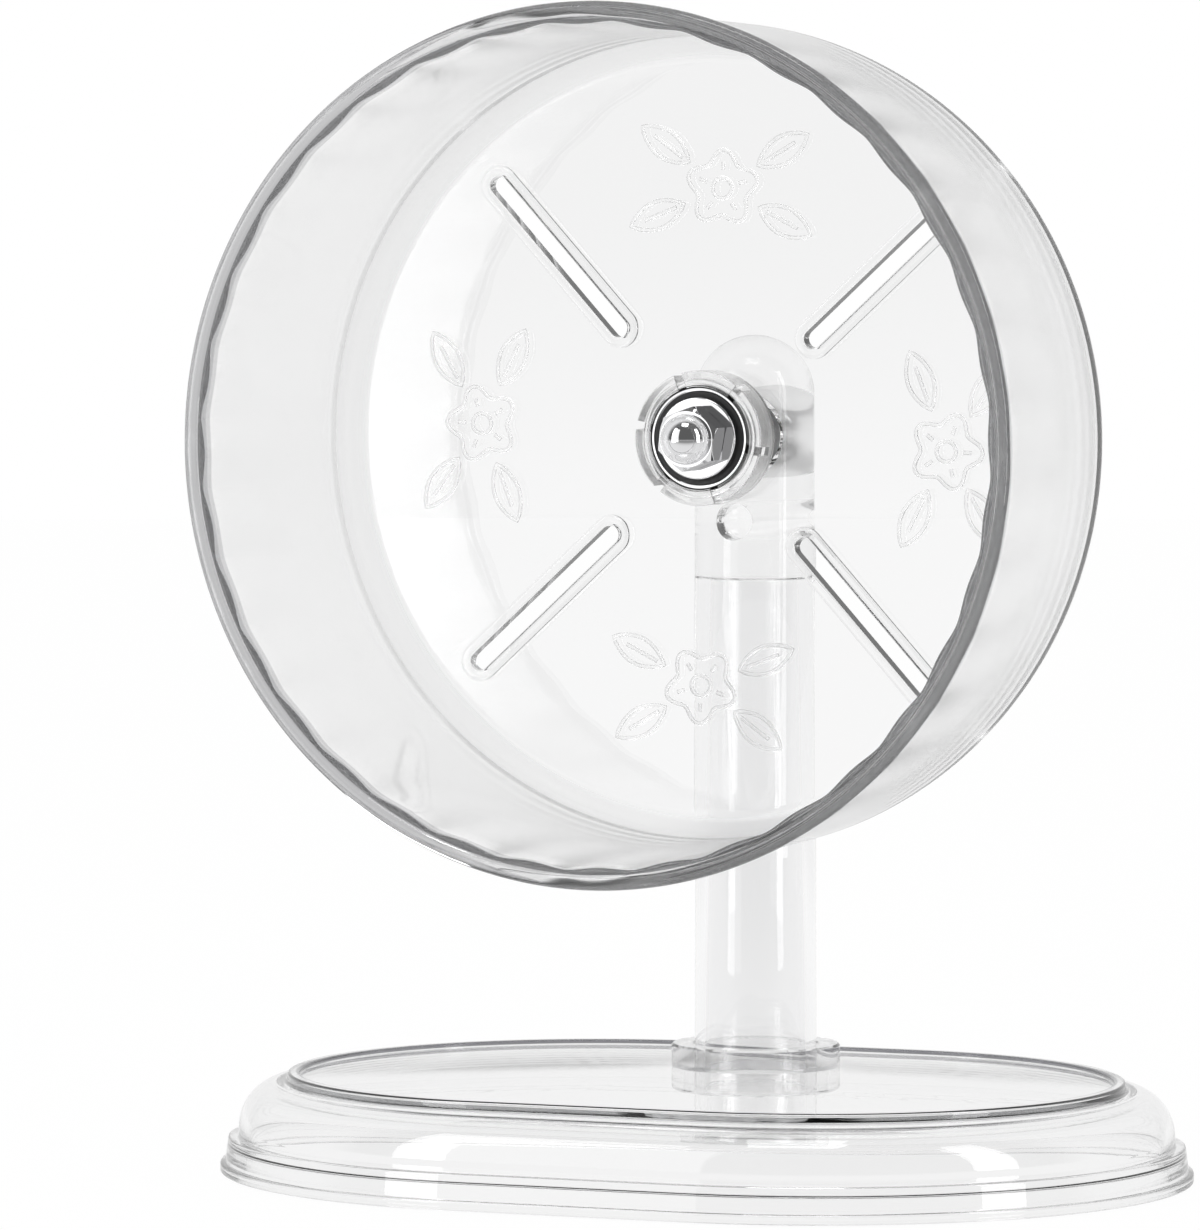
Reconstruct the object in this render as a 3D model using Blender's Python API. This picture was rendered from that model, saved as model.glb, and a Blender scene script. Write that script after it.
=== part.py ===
"""Clear hamster wheel: a drum on a ball bearing, carried by a domed post on an oval base.

Metres, +Z up. The origin is on the floor under the middle of the base, -Y is the open front
of the drum, and the axle runs along Y.
"""

import math

import bmesh
import bpy
from mathutils import Matrix, Vector

MM = 0.001

# Clearances
FIT_GAP = 0.2 * MM  # between pieces pressed, screwed or seated together
BALL_GAP = 0.15 * MM  # round each ball in its grooves
POCKET_GAP = 0.25 * MM  # round each ball in its cage
SEAL_GAP = 0.35 * MM  # between a seal and what turns beside it
CUT_OVERRUN = 1.0 * MM  # how far a cutter runs past the face it opens

# Axle and the pieces threaded on it
AXLE_RADIUS = 4.8 * MM
WASHER_LIP_GAP = 2.6 * MM  # between the washer and the retainer's lip
WASHER_THICKNESS = 1.3 * MM
NUT_ACROSS_FLATS = 14.0 * MM
NUT_HEX_HEIGHT = 7.0 * MM
NUT_DOME_RADIUS = 6.25 * MM
NUT_THREAD_DEPTH = 9.0 * MM
NUT_TURN = math.radians(20)  # of a corner of the hexagon, up from level
AXLE_END_GAP = 1.5 * MM  # left free at the blind end of the nut's thread
SPACER_WALL = 2.0 * MM
BUSH_SIDE_WALL = 3.8 * MM  # post left beside the bush's seat
BUSH_BACK_WALL = 6.1 * MM  # post left behind the bush's seat
BUSH_FRONT_SINK = 0.4 * MM  # bush below the edge of its seat

# Ball bearing
INNER_RACE_WALL = 2.3 * MM
OUTER_RACE_WALL = 2.0 * MM
BALL_RADIUS = 2.38 * MM
BALL_COUNT = 7
GROOVE_DEPTH = 0.68 * MM  # of each race's groove below its shoulder
CAGE_WEB = 0.45 * MM
CAGE_FINGER = 1.7 * MM  # how far the crown reaches past the balls' middle
CAGE_SIDE_GAP = 0.7 * MM
SEAL_THICKNESS = 0.5 * MM
SEAL_RECESS = 0.2 * MM
SEAL_STEP = 0.6 * MM  # depth of the step that holds the seal's edge

# Hub and retainer
HUB_WALL = 1.3 * MM
HUB_SHOULDER = 2.0 * MM  # lip behind the bearing
RETAINER_WALL = 1.8 * MM
RETAINER_LIP = 0.6 * MM
RETAINER_SLITS = 6
SLIT_WIDTH = 2.2 * MM
SLIT_DEPTH = 6.0 * MM
SLIT_TURN = math.radians(11)
BEARING_STANDOFF = 0.5 * MM  # bearing to back disc

# Drum
WHEEL_RADIUS = 105.0 * MM
WHEEL_DEPTH = 84.6 * MM
WHEEL_FLOOR_GAP = 75.5 * MM
BEAD_WIDTH = 4.0 * MM
BEAD_STEP = 2.0 * MM  # bead's outside past the wall
WALL_FRONT = 2.2 * MM
WALL_BACK = 4.7 * MM
WALL_DRAFT = 1.6 * MM  # outside draft from front to back
DISC_THICKNESS = 3.0 * MM
CORNER_RADIUS = 6.5 * MM
TREAD_COUNT = 36
TREAD_STEPS = 3
TREAD_FRONT = 1.4 * MM
TREAD_BACK = 0.5 * MM

# Slots in the back disc
SLOT_COUNT = 4
SLOT_TURN = math.radians(47.6)
SLOT_WIDTH = 4.5 * MM
SLOT_FRAME = 2.7 * MM  # width of the raised frame
SLOT_RAISE = 1.2 * MM
SLOT_FROM_HUB = 19.5 * MM
SLOT_FROM_WALL = 13.4 * MM

# Post
POST_FROM_BACK = 57.55 * MM  # post's middle to the back edge of the base
WHEEL_POST_GAP = 12.2 * MM
POST_FOOT_RADIUS = 15.2 * MM
POST_DRAFT = 0.4 * MM
POST_FOOT_WALL = 2.4 * MM
POST_HEAD_WALL = 4.2 * MM  # at the top of the hollow
HEAD_ABOVE_AXLE = 24.6 * MM
HOLLOW_BELOW_AXLE = 35.3 * MM
CROSS_HOLE_RADIUS = 4.7 * MM
CROSS_HOLE_DROP = 21.2 * MM

# Base
BASE_WIDTH = 185.5 * MM
BASE_STRAIGHT = 57.0 * MM  # straight sides between the round ends
BASE_WALL = 2.4 * MM
LIP_HEIGHT = 2.4 * MM
LIP_STEP = 1.3 * MM
LIP_EDGE = 0.5 * MM
BAND_HEIGHT = 6.2 * MM
BAND_LEAN = 0.7 * MM
LEDGE_WIDTH = 2.6 * MM
SHOULDER_WALL = 2.0 * MM  # upright stretch under the round
SHOULDER_REACH = 10.0 * MM
SHOULDER_RISE = 11.5 * MM
RIM_FOOT = 2.0 * MM
RIM_WIDTH = 3.0 * MM
RIM_RISE = 2.25 * MM
DECK_DROP = 1.2 * MM
COLLAR_WALL = 5.6 * MM
COLLAR_HEIGHT = 5.75 * MM
SOCKET_WALL = 2.8 * MM
SOCKET_FLOOR = 2.6 * MM
SOCKET_DEPTH = 9.0 * MM  # post's foot below the deck

# Roundness of the meshes
END_STEPS = 22  # half turn at each end of the base
SHOULDER_STEPS = 5
CORNER_STEPS = 4
BEAD_STEPS = 5
POST_STEPS = 40
DOME_STEPS = 8
SMALL_STEPS = 36
HOLE_STEPS = 20
SMOOTH_ANGLE = math.radians(35)

# Radii worked out from the axle outwards
RACE_SPACE = 2 * (BALL_RADIUS + BALL_GAP - GROOVE_DEPTH)
RACE_BORE = AXLE_RADIUS + FIT_GAP
INNER_SHOULDER = RACE_BORE + INNER_RACE_WALL
OUTER_SHOULDER = INNER_SHOULDER + RACE_SPACE
BEARING_RADIUS = OUTER_SHOULDER + OUTER_RACE_WALL
PITCH_RADIUS = (INNER_SHOULDER + OUTER_SHOULDER) / 2
HUB_BORE = BEARING_RADIUS + FIT_GAP
HUB_RADIUS = HUB_BORE + HUB_WALL
RETAINER_BORE = HUB_RADIUS + FIT_GAP
RETAINER_RADIUS = RETAINER_BORE + RETAINER_WALL
LIP_BORE = HUB_BORE - RETAINER_LIP
WASHER_RADIUS = LIP_BORE - WASHER_LIP_GAP
SPACER_RADIUS = RACE_BORE + SPACER_WALL
SEAL_OUTER = OUTER_SHOULDER + SEAL_STEP
SEAL_INNER = INNER_SHOULDER + SEAL_GAP
BEARING_WIDTH = 2 * (BALL_RADIUS + POCKET_GAP + CAGE_WEB + SEAL_GAP + SEAL_THICKNESS + SEAL_RECESS)

# Drum radii
WALL_OUTER_FRONT = WHEEL_RADIUS - BEAD_STEP
WALL_OUTER_BACK = WALL_OUTER_FRONT - WALL_DRAFT
GROOVE_FRONT = WALL_OUTER_FRONT - WALL_FRONT
GROOVE_BACK = WALL_OUTER_BACK - WALL_BACK
SLOT_INNER = RETAINER_RADIUS + SLOT_FROM_HUB
SLOT_OUTER = GROOVE_BACK - SLOT_FROM_WALL

# Heights
AXLE_HEIGHT = WHEEL_FLOOR_GAP + WHEEL_RADIUS
LEDGE_HEIGHT = LIP_HEIGHT + BAND_HEIGHT
SHOULDER_FOOT = LEDGE_HEIGHT + SHOULDER_WALL
SHOULDER_TOP = SHOULDER_FOOT + SHOULDER_RISE
RIM_HEIGHT = SHOULDER_TOP + RIM_RISE
DECK_HEIGHT = RIM_HEIGHT - DECK_DROP
COLLAR_TOP = DECK_HEIGHT + COLLAR_HEIGHT
FOOT_HEIGHT = DECK_HEIGHT - SOCKET_DEPTH
HEAD_TOP = AXLE_HEIGHT + HEAD_ABOVE_AXLE
HOLLOW_TOP = AXLE_HEIGHT - HOLLOW_BELOW_AXLE

# Insets of the base's outline, from the lip inwards
BAND_FOOT_INSET = LIP_STEP
BAND_TOP_INSET = BAND_FOOT_INSET + BAND_LEAN
SHOULDER_INSET = BAND_TOP_INSET + LEDGE_WIDTH
SHOULDER_TOP_INSET = SHOULDER_INSET + SHOULDER_REACH
RIM_INSET = SHOULDER_TOP_INSET + RIM_FOOT
DECK_INSET = RIM_INSET + RIM_WIDTH

# Post radii
POST_HEAD_RADIUS = POST_FOOT_RADIUS - POST_DRAFT
COLLAR_BORE = POST_FOOT_RADIUS + FIT_GAP
COLLAR_RADIUS = COLLAR_BORE + COLLAR_WALL
SOCKET_RADIUS = COLLAR_BORE + SOCKET_WALL
BUSH_SEAT = POST_HEAD_RADIUS - BUSH_SIDE_WALL
BUSH_RADIUS = BUSH_SEAT - FIT_GAP

# Places along the axle, from the post forwards
POST_OFFSET = BASE_WIDTH / 2 - POST_FROM_BACK
DISC_BACK = POST_OFFSET - POST_FOOT_RADIUS - WHEEL_POST_GAP
DISC_FRONT = DISC_BACK - DISC_THICKNESS
RIM_FRONT = DISC_BACK - WHEEL_DEPTH
BEARING_BACK = DISC_FRONT - BEARING_STANDOFF
BEARING_FRONT = BEARING_BACK - BEARING_WIDTH
BEARING_MIDDLE = (BEARING_BACK + BEARING_FRONT) / 2
RETAINER_FRONT = BEARING_FRONT - FIT_GAP - RETAINER_LIP
WASHER_BACK = BEARING_FRONT - FIT_GAP
WASHER_FRONT = WASHER_BACK - WASHER_THICKNESS
NUT_BACK = WASHER_FRONT - FIT_GAP
NUT_HEX_FRONT = NUT_BACK - NUT_HEX_HEIGHT
BUSH_FRONT = POST_OFFSET - math.sqrt(POST_HEAD_RADIUS**2 - BUSH_SEAT**2) + BUSH_FRONT_SINK
BUSH_BACK = POST_OFFSET + POST_HEAD_RADIUS - BUSH_BACK_WALL
AXLE_FRONT = NUT_BACK - NUT_THREAD_DEPTH + AXLE_END_GAP

AXLE_PLACE = Vector((0, 0, AXLE_HEIGHT))
POST_PLACE = Vector((0, POST_OFFSET, 0))
ALONG_Y = Vector((0, 1, 0))
ALONG_Z = Vector((0, 0, 1))


def clear_scene():
    for leftover in list(bpy.data.objects):
        bpy.data.objects.remove(leftover, do_unlink=True)


def make_material(name, colour, roughness, metallic=0.0, transmission=0.0):
    material = bpy.data.materials.new(name)
    material.use_nodes = True
    shader = material.node_tree.nodes["Principled BSDF"]
    shader.inputs["Base Color"].default_value = (*colour, 1.0)
    shader.inputs["Roughness"].default_value = roughness
    shader.inputs["Metallic"].default_value = metallic
    shader.inputs["Transmission Weight"].default_value = transmission
    shader.inputs["IOR"].default_value = 1.49
    return material


def make_materials():
    return {
        "clear": make_material("clear_plastic", (0.93, 0.94, 0.95), 0.05, transmission=1.0),
        "chrome": make_material("bright_plate", (0.80, 0.80, 0.81), 0.12, metallic=1.0),
        "steel": make_material("bearing_steel", (0.62, 0.63, 0.64), 0.22, metallic=1.0),
        "rubber": make_material("seal_rubber", (0.02, 0.02, 0.02), 0.55),
        "nylon": make_material("cage_nylon", (0.55, 0.50, 0.42), 0.50),
    }


def add_object(name, bm, material=None, location=(0, 0, 0), parent=None):
    bmesh.ops.recalc_face_normals(bm, faces=bm.faces)
    mesh = bpy.data.meshes.new(name)
    bm.to_mesh(mesh)
    bm.free()
    mesh.shade_smooth()
    mesh.set_sharp_from_angle(angle=SMOOTH_ANGLE)
    if material:
        mesh.materials.append(material)
    obj = bpy.data.objects.new(name, mesh)
    bpy.context.scene.collection.objects.link(obj)
    obj.location = location
    obj.parent = parent
    return obj


def add_axis(name):
    empty = bpy.data.objects.new(name, None)
    bpy.context.scene.collection.objects.link(empty)
    empty.location = AXLE_PLACE
    empty.empty_display_size = BEARING_RADIUS
    return empty


def turn(bm, profile, axis, steps, closed=True):
    """Spins (radius, along) points once round the axis. An open profile ends on the axis."""
    points = [Vector((radius, 0, 0)) + axis * along for radius, along in profile]
    verts = [bm.verts.new(point) for point in points]
    pairs = list(zip(verts, verts[1:]))
    if closed:
        pairs.append((verts[-1], verts[0]))
    edges = [bm.edges.new(pair) for pair in pairs]
    bmesh.ops.spin(
        bm,
        geom=verts + edges,
        cent=(0, 0, 0),
        axis=axis,
        angle=math.tau,
        steps=steps,
        use_merge=True,
    )
    bmesh.ops.remove_doubles(bm, verts=bm.verts, dist=0.001 * MM)


def turned(profile, axis=ALONG_Y, steps=SMALL_STEPS, closed=True, start=0.0):
    bm = bmesh.new()
    turn(bm, profile, axis, steps, closed)
    bmesh.ops.rotate(bm, verts=bm.verts, cent=(0, 0, 0), matrix=Matrix.Rotation(start, 3, axis))
    return bm


def tube_profile(inner, outer, start, end):
    return [(inner, start), (outer, start), (outer, end), (inner, end)]


def rod_profile(radius, start, end):
    return [(0, start), (radius, start), (radius, end), (0, end)]


def arc(centre, reach, rise, start, end, steps):
    """Points of an elliptical arc about centre, angles in degrees."""
    angles = [math.radians(start + (end - start) * step / steps) for step in range(steps + 1)]
    return [(centre[0] + reach * math.cos(a), centre[1] + rise * math.sin(a)) for a in angles]


def extrude_outline(bm, outline, depth):
    """Closes an outline into a face and extrudes it by the depth vector."""
    face = bm.faces.new([bm.verts.new(point) for point in outline])
    made = bmesh.ops.extrude_face_region(bm, geom=[face])["geom"]
    moved = [item for item in made if isinstance(item, bmesh.types.BMVert)]
    bmesh.ops.translate(bm, verts=moved, vec=depth)


def combine(target, other, operation):
    other.hide_render = True
    other.display_type = "WIRE"
    modifier = target.modifiers.new(f"{operation.lower()}_{other.name}", "BOOLEAN")
    modifier.operation = operation
    modifier.solver = "EXACT"
    modifier.object = other


def obround(inner, outer, half_width, front, turn_angle):
    """Outline of a slot that runs radially between two end centres, on the plane y = front."""
    half_turn = range(HOLE_STEPS // 2 + 1)
    points = []
    for centre, start in ((outer, -90), (inner, 90)):
        for step in half_turn:
            angle = math.radians(start + 180 * step / (HOLE_STEPS // 2))
            points.append(
                Vector((centre + half_width * math.cos(angle), front, half_width * math.sin(angle)))
            )
    return [Matrix.Rotation(turn_angle, 3, ALONG_Y) @ point for point in points]


def slot_shapes(name, half_width, front, back, parent):
    """One mesh with a radial obround bar for each slot of the back disc."""
    bm = bmesh.new()
    for number in range(SLOT_COUNT):
        turn_angle = SLOT_TURN + math.tau * number / SLOT_COUNT
        outline = obround(SLOT_INNER, SLOT_OUTER, half_width, front, turn_angle)
        extrude_outline(bm, outline, ALONG_Y * (back - front))
    return add_object(name, bm, parent=parent)


def shape_tread(bm):
    """Lifts the inside of the wall into low bars between sharp grooves."""
    for vert in bm.verts:
        radius = math.hypot(vert.co.x, vert.co.z)
        at_front = abs(radius - GROOVE_FRONT) < 0.01 * MM
        at_back = abs(radius - GROOVE_BACK) < 0.01 * MM
        if not (at_front or at_back):
            continue
        step = round(math.atan2(vert.co.z, vert.co.x) / math.tau * TREAD_COUNT * TREAD_STEPS)
        if step % TREAD_STEPS == 0:
            continue
        shrink = (radius - (TREAD_FRONT if at_front else TREAD_BACK)) / radius
        vert.co.x *= shrink
        vert.co.z *= shrink


def make_drum(materials, axis):
    bead = BEAD_WIDTH / 2
    outer_corner = (WALL_OUTER_BACK - CORNER_RADIUS, DISC_BACK - CORNER_RADIUS)
    inner_corner = (GROOVE_BACK - CORNER_RADIUS, DISC_FRONT - CORNER_RADIUS)
    profile = [(AXLE_RADIUS, DISC_FRONT)]
    profile += arc(inner_corner, CORNER_RADIUS, CORNER_RADIUS, 90, 0, CORNER_STEPS)
    profile += [(GROOVE_FRONT, RIM_FRONT + bead / 2)]
    profile += arc((WHEEL_RADIUS - bead, RIM_FRONT + bead), bead, bead, 210, 360, BEAD_STEPS)
    profile += [(WHEEL_RADIUS, RIM_FRONT + BEAD_WIDTH)]
    profile += [(WALL_OUTER_FRONT, RIM_FRONT + BEAD_WIDTH + BEAD_STEP)]
    profile += arc(outer_corner, CORNER_RADIUS, CORNER_RADIUS, 0, 90, CORNER_STEPS)
    profile += [(AXLE_RADIUS, DISC_BACK)]
    bm = turned(profile, steps=TREAD_COUNT * TREAD_STEPS)
    shape_tread(bm)
    drum = add_object("wheel_drum", bm, materials["clear"], parent=axis)

    middle = DISC_FRONT + DISC_THICKNESS / 2
    frame_half = SLOT_WIDTH / 2 + SLOT_FRAME
    combine(drum, slot_shapes("slot_frames", frame_half, DISC_FRONT - SLOT_RAISE, middle, axis), "UNION")
    slots = slot_shapes("slot_cuts", SLOT_WIDTH / 2, DISC_FRONT - SLOT_RAISE - CUT_OVERRUN,
                        DISC_BACK + CUT_OVERRUN, axis)
    combine(drum, slots, "DIFFERENCE")

    between_steps = math.tau / (TREAD_COUNT * TREAD_STEPS) / 2
    boss_profile = rod_profile(HUB_RADIUS, BEARING_FRONT, middle)
    boss = turned(boss_profile, closed=False, start=between_steps)
    combine(drum, add_object("hub_boss", boss, parent=axis), "UNION")
    shoulder = HUB_BORE - HUB_SHOULDER
    seat_back = BEARING_BACK + FIT_GAP
    bore = [(0, BEARING_FRONT - CUT_OVERRUN), (HUB_BORE, BEARING_FRONT - CUT_OVERRUN)]
    bore += [(HUB_BORE, seat_back), (shoulder, seat_back)]
    bore += [(shoulder, DISC_BACK + CUT_OVERRUN), (0, DISC_BACK + CUT_OVERRUN)]
    bore_cut = turned(bore, closed=False, start=between_steps)
    combine(drum, add_object("hub_bore", bore_cut, parent=axis), "DIFFERENCE")


def make_retainer(materials, axis):
    lip_back = RETAINER_FRONT + RETAINER_LIP
    profile = [
        (LIP_BORE, RETAINER_FRONT),
        (RETAINER_RADIUS, RETAINER_FRONT),
        (RETAINER_RADIUS, DISC_FRONT - FIT_GAP),
        (RETAINER_BORE, DISC_FRONT - FIT_GAP),
        (RETAINER_BORE, lip_back),
        (LIP_BORE, lip_back),
    ]
    retainer = add_object("bearing_retainer", turned(profile), materials["clear"], parent=axis)

    bm = bmesh.new()
    half = SLIT_WIDTH / 2
    front = RETAINER_FRONT - CUT_OVERRUN
    for number in range(RETAINER_SLITS):
        turn_angle = SLIT_TURN + math.tau * number / RETAINER_SLITS
        corners = [
            (LIP_BORE - CUT_OVERRUN, -half),
            (RETAINER_RADIUS + CUT_OVERRUN, -half),
            (RETAINER_RADIUS + CUT_OVERRUN, half),
            (LIP_BORE - CUT_OVERRUN, half),
        ]
        outline = [
            Matrix.Rotation(turn_angle, 3, ALONG_Y) @ Vector((out, front, side)) for out, side in corners
        ]
        extrude_outline(bm, outline, ALONG_Y * (SLIT_DEPTH + CUT_OVERRUN))
    combine(retainer, add_object("retainer_slits", bm, parent=axis), "DIFFERENCE")


def groove(side, race_edge):
    """Arc of a ball's groove in a race: side 1 is the outer race, -1 the inner race."""
    radius = BALL_RADIUS + BALL_GAP
    reach = math.degrees(math.acos((race_edge - PITCH_RADIUS) / (side * radius)))
    angles = (reach, -reach) if side > 0 else (180 + reach, 180 - reach)
    return arc((PITCH_RADIUS, BEARING_MIDDLE), radius, radius, *angles, CORNER_STEPS)


def make_bearing(materials, wheel_axis, ball_axis):
    seal_step = SEAL_RECESS + SEAL_THICKNESS + FIT_GAP
    seat = SEAL_OUTER + FIT_GAP
    outer = [
        (seat, BEARING_FRONT),
        (BEARING_RADIUS, BEARING_FRONT),
        (BEARING_RADIUS, BEARING_BACK),
        (seat, BEARING_BACK),
        (seat, BEARING_BACK - seal_step),
        (OUTER_SHOULDER, BEARING_BACK - seal_step),
    ]
    outer += groove(1, OUTER_SHOULDER)
    outer += [(OUTER_SHOULDER, BEARING_FRONT + seal_step), (seat, BEARING_FRONT + seal_step)]
    add_object("bearing_outer_race", turned(outer), materials["chrome"], parent=wheel_axis)

    inner = [(RACE_BORE, BEARING_BACK), (RACE_BORE, BEARING_FRONT), (INNER_SHOULDER, BEARING_FRONT)]
    inner += groove(-1, INNER_SHOULDER)
    inner += [(INNER_SHOULDER, BEARING_BACK)]
    add_object("bearing_inner_race", turned(inner), materials["chrome"], AXLE_PLACE)

    seals = {
        "bearing_seal_front": BEARING_FRONT + SEAL_RECESS,
        "bearing_seal_rear": BEARING_BACK - SEAL_RECESS - SEAL_THICKNESS,
    }
    for name, start in seals.items():
        profile = tube_profile(SEAL_INNER, SEAL_OUTER, start, start + SEAL_THICKNESS)
        add_object(name, turned(profile), materials["rubber"], parent=wheel_axis)

    ball_places = []
    for number in range(BALL_COUNT):
        turned_by = Matrix.Rotation(math.tau * number / BALL_COUNT, 3, ALONG_Y)
        ball_places.append(turned_by @ Vector((PITCH_RADIUS, BEARING_MIDDLE, 0)))
    for number, place in enumerate(ball_places, start=1):
        bm = bmesh.new()
        bmesh.ops.create_uvsphere(bm, u_segments=12, v_segments=6, radius=BALL_RADIUS)
        add_object(f"bearing_ball_{number}", bm, materials["steel"], place, ball_axis)

    pocket = BALL_RADIUS + POCKET_GAP
    crown = tube_profile(
        INNER_SHOULDER + CAGE_SIDE_GAP,
        OUTER_SHOULDER - CAGE_SIDE_GAP,
        BEARING_MIDDLE - CAGE_FINGER,
        BEARING_MIDDLE + pocket + CAGE_WEB,
    )
    cage = add_object("bearing_cage", turned(crown), materials["nylon"], parent=ball_axis)
    bm = bmesh.new()
    for place in ball_places:
        moved = Matrix.Translation(place)
        bmesh.ops.create_uvsphere(bm, u_segments=12, v_segments=8, radius=pocket, matrix=moved)
    combine(cage, add_object("cage_pockets", bm, parent=ball_axis), "DIFFERENCE")


def make_axle(materials):
    rod = rod_profile(AXLE_RADIUS, AXLE_FRONT, BUSH_BACK)
    add_object("axle", turned(rod, closed=False), materials["steel"], AXLE_PLACE)

    washer = tube_profile(RACE_BORE, WASHER_RADIUS, WASHER_FRONT, WASHER_BACK)
    add_object("nut_washer", turned(washer), materials["chrome"], AXLE_PLACE)

    sleeve = tube_profile(RACE_BORE, SPACER_RADIUS, BEARING_BACK + FIT_GAP, BUSH_FRONT - FIT_GAP)
    add_object("axle_spacer", turned(sleeve), materials["steel"], AXLE_PLACE)

    barrel = tube_profile(RACE_BORE, BUSH_RADIUS, BUSH_FRONT, BUSH_BACK)
    add_object("axle_bush", turned(barrel), materials["chrome"], AXLE_PLACE)


def make_dome_nut(materials):
    corner = NUT_ACROSS_FLATS / math.sqrt(3)
    bm = bmesh.new()
    hexagon = [
        Vector((corner * math.cos(a), NUT_HEX_FRONT, corner * math.sin(a)))
        for a in (NUT_TURN + math.tau * side / 6 for side in range(6))
    ]
    extrude_outline(bm, hexagon, ALONG_Y * NUT_HEX_HEIGHT)
    nut = add_object("dome_nut", bm, materials["chrome"], AXLE_PLACE)

    middle = (0, NUT_HEX_FRONT)
    dome = arc(middle, NUT_DOME_RADIUS, NUT_DOME_RADIUS, -90, 0, DOME_STEPS)
    dome += [(NUT_DOME_RADIUS, NUT_HEX_FRONT + NUT_HEX_HEIGHT / 2)]
    dome += [(0, NUT_HEX_FRONT + NUT_HEX_HEIGHT / 2)]
    combine(nut, add_object("nut_dome", turned(dome, closed=False), location=AXLE_PLACE), "UNION")

    thread = rod_profile(AXLE_RADIUS + FIT_GAP, NUT_BACK - NUT_THREAD_DEPTH, NUT_BACK + CUT_OVERRUN)
    thread_cut = turned(thread, closed=False)
    combine(nut, add_object("nut_thread", thread_cut, location=AXLE_PLACE), "DIFFERENCE")


def make_post(materials):
    dome_foot = HEAD_TOP - POST_HEAD_RADIUS
    foot = FOOT_HEIGHT + FIT_GAP
    profile = [(0, HOLLOW_TOP), (POST_HEAD_RADIUS - POST_HEAD_WALL, HOLLOW_TOP)]
    profile += [(POST_FOOT_RADIUS - POST_FOOT_WALL, foot), (POST_FOOT_RADIUS, foot)]
    profile += [(POST_FOOT_RADIUS, COLLAR_TOP)]
    profile += arc((0, dome_foot), POST_HEAD_RADIUS, POST_HEAD_RADIUS, 0, 90, DOME_STEPS)
    post = add_object(
        "post", turned(profile, ALONG_Z, POST_STEPS, closed=False), materials["clear"], POST_PLACE
    )

    seat = rod_profile(BUSH_SEAT, POST_OFFSET - POST_FOOT_RADIUS - CUT_OVERRUN, BUSH_BACK + FIT_GAP)
    seat_cut = add_object("bush_seat", turned(seat, closed=False), location=AXLE_PLACE)
    combine(post, seat_cut, "DIFFERENCE")

    past = POST_FOOT_RADIUS + CUT_OVERRUN
    hole = rod_profile(CROSS_HOLE_RADIUS, POST_OFFSET - past, POST_OFFSET + past)
    hole_place = AXLE_PLACE - ALONG_Z * CROSS_HOLE_DROP
    hole_cut = turned(hole, steps=HOLE_STEPS, closed=False)
    combine(post, add_object("cross_hole", hole_cut, location=hole_place), "DIFFERENCE")


def oval_ring(bm, inset, height):
    """One ring of the base's outline: two half circles joined by straight sides."""
    radius = BASE_WIDTH / 2 - inset
    middle = BASE_STRAIGHT / 2
    ring = []
    for side, start in ((1, -90), (-1, 90)):
        for step in range(END_STEPS + 1):
            angle = math.radians(start + 180 * step / END_STEPS)
            place = (side * middle + radius * math.cos(angle), radius * math.sin(angle), height)
            ring.append(bm.verts.new(place))
    return ring


def base_profile():
    """(inset, height) from the deck's edge outwards and down, then up the inside of the shell."""
    shoulder_centre = (SHOULDER_TOP_INSET, SHOULDER_FOOT)
    edge = LIP_EDGE
    outside = [(DECK_INSET, DECK_HEIGHT), (DECK_INSET, RIM_HEIGHT - edge), (DECK_INSET - edge, RIM_HEIGHT)]
    outside += [(RIM_INSET + edge, RIM_HEIGHT), (RIM_INSET, RIM_HEIGHT - edge)]
    outside += [(RIM_INSET, SHOULDER_TOP + RIM_RISE / 3)]
    outside += arc(shoulder_centre, -SHOULDER_REACH, SHOULDER_RISE, 90, 0, SHOULDER_STEPS)
    outside += [(SHOULDER_INSET, LEDGE_HEIGHT), (BAND_TOP_INSET + edge, LEDGE_HEIGHT)]
    outside += [(BAND_TOP_INSET, LEDGE_HEIGHT - edge), (BAND_FOOT_INSET, LIP_HEIGHT)]
    outside += [(edge, LIP_HEIGHT), (0, LIP_HEIGHT - edge), (0, edge), (edge, 0)]
    inside = [(BAND_TOP_INSET + BASE_WALL, 0), (BAND_TOP_INSET + BASE_WALL, LEDGE_HEIGHT - BASE_WALL)]
    inside += [(SHOULDER_INSET + BASE_WALL, LEDGE_HEIGHT)]
    inside += arc(
        shoulder_centre, BASE_WALL - SHOULDER_REACH, SHOULDER_RISE - BASE_WALL, 0, 90, SHOULDER_STEPS
    )
    inside += [(RIM_INSET, DECK_HEIGHT - BASE_WALL)]
    return outside + inside


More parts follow.
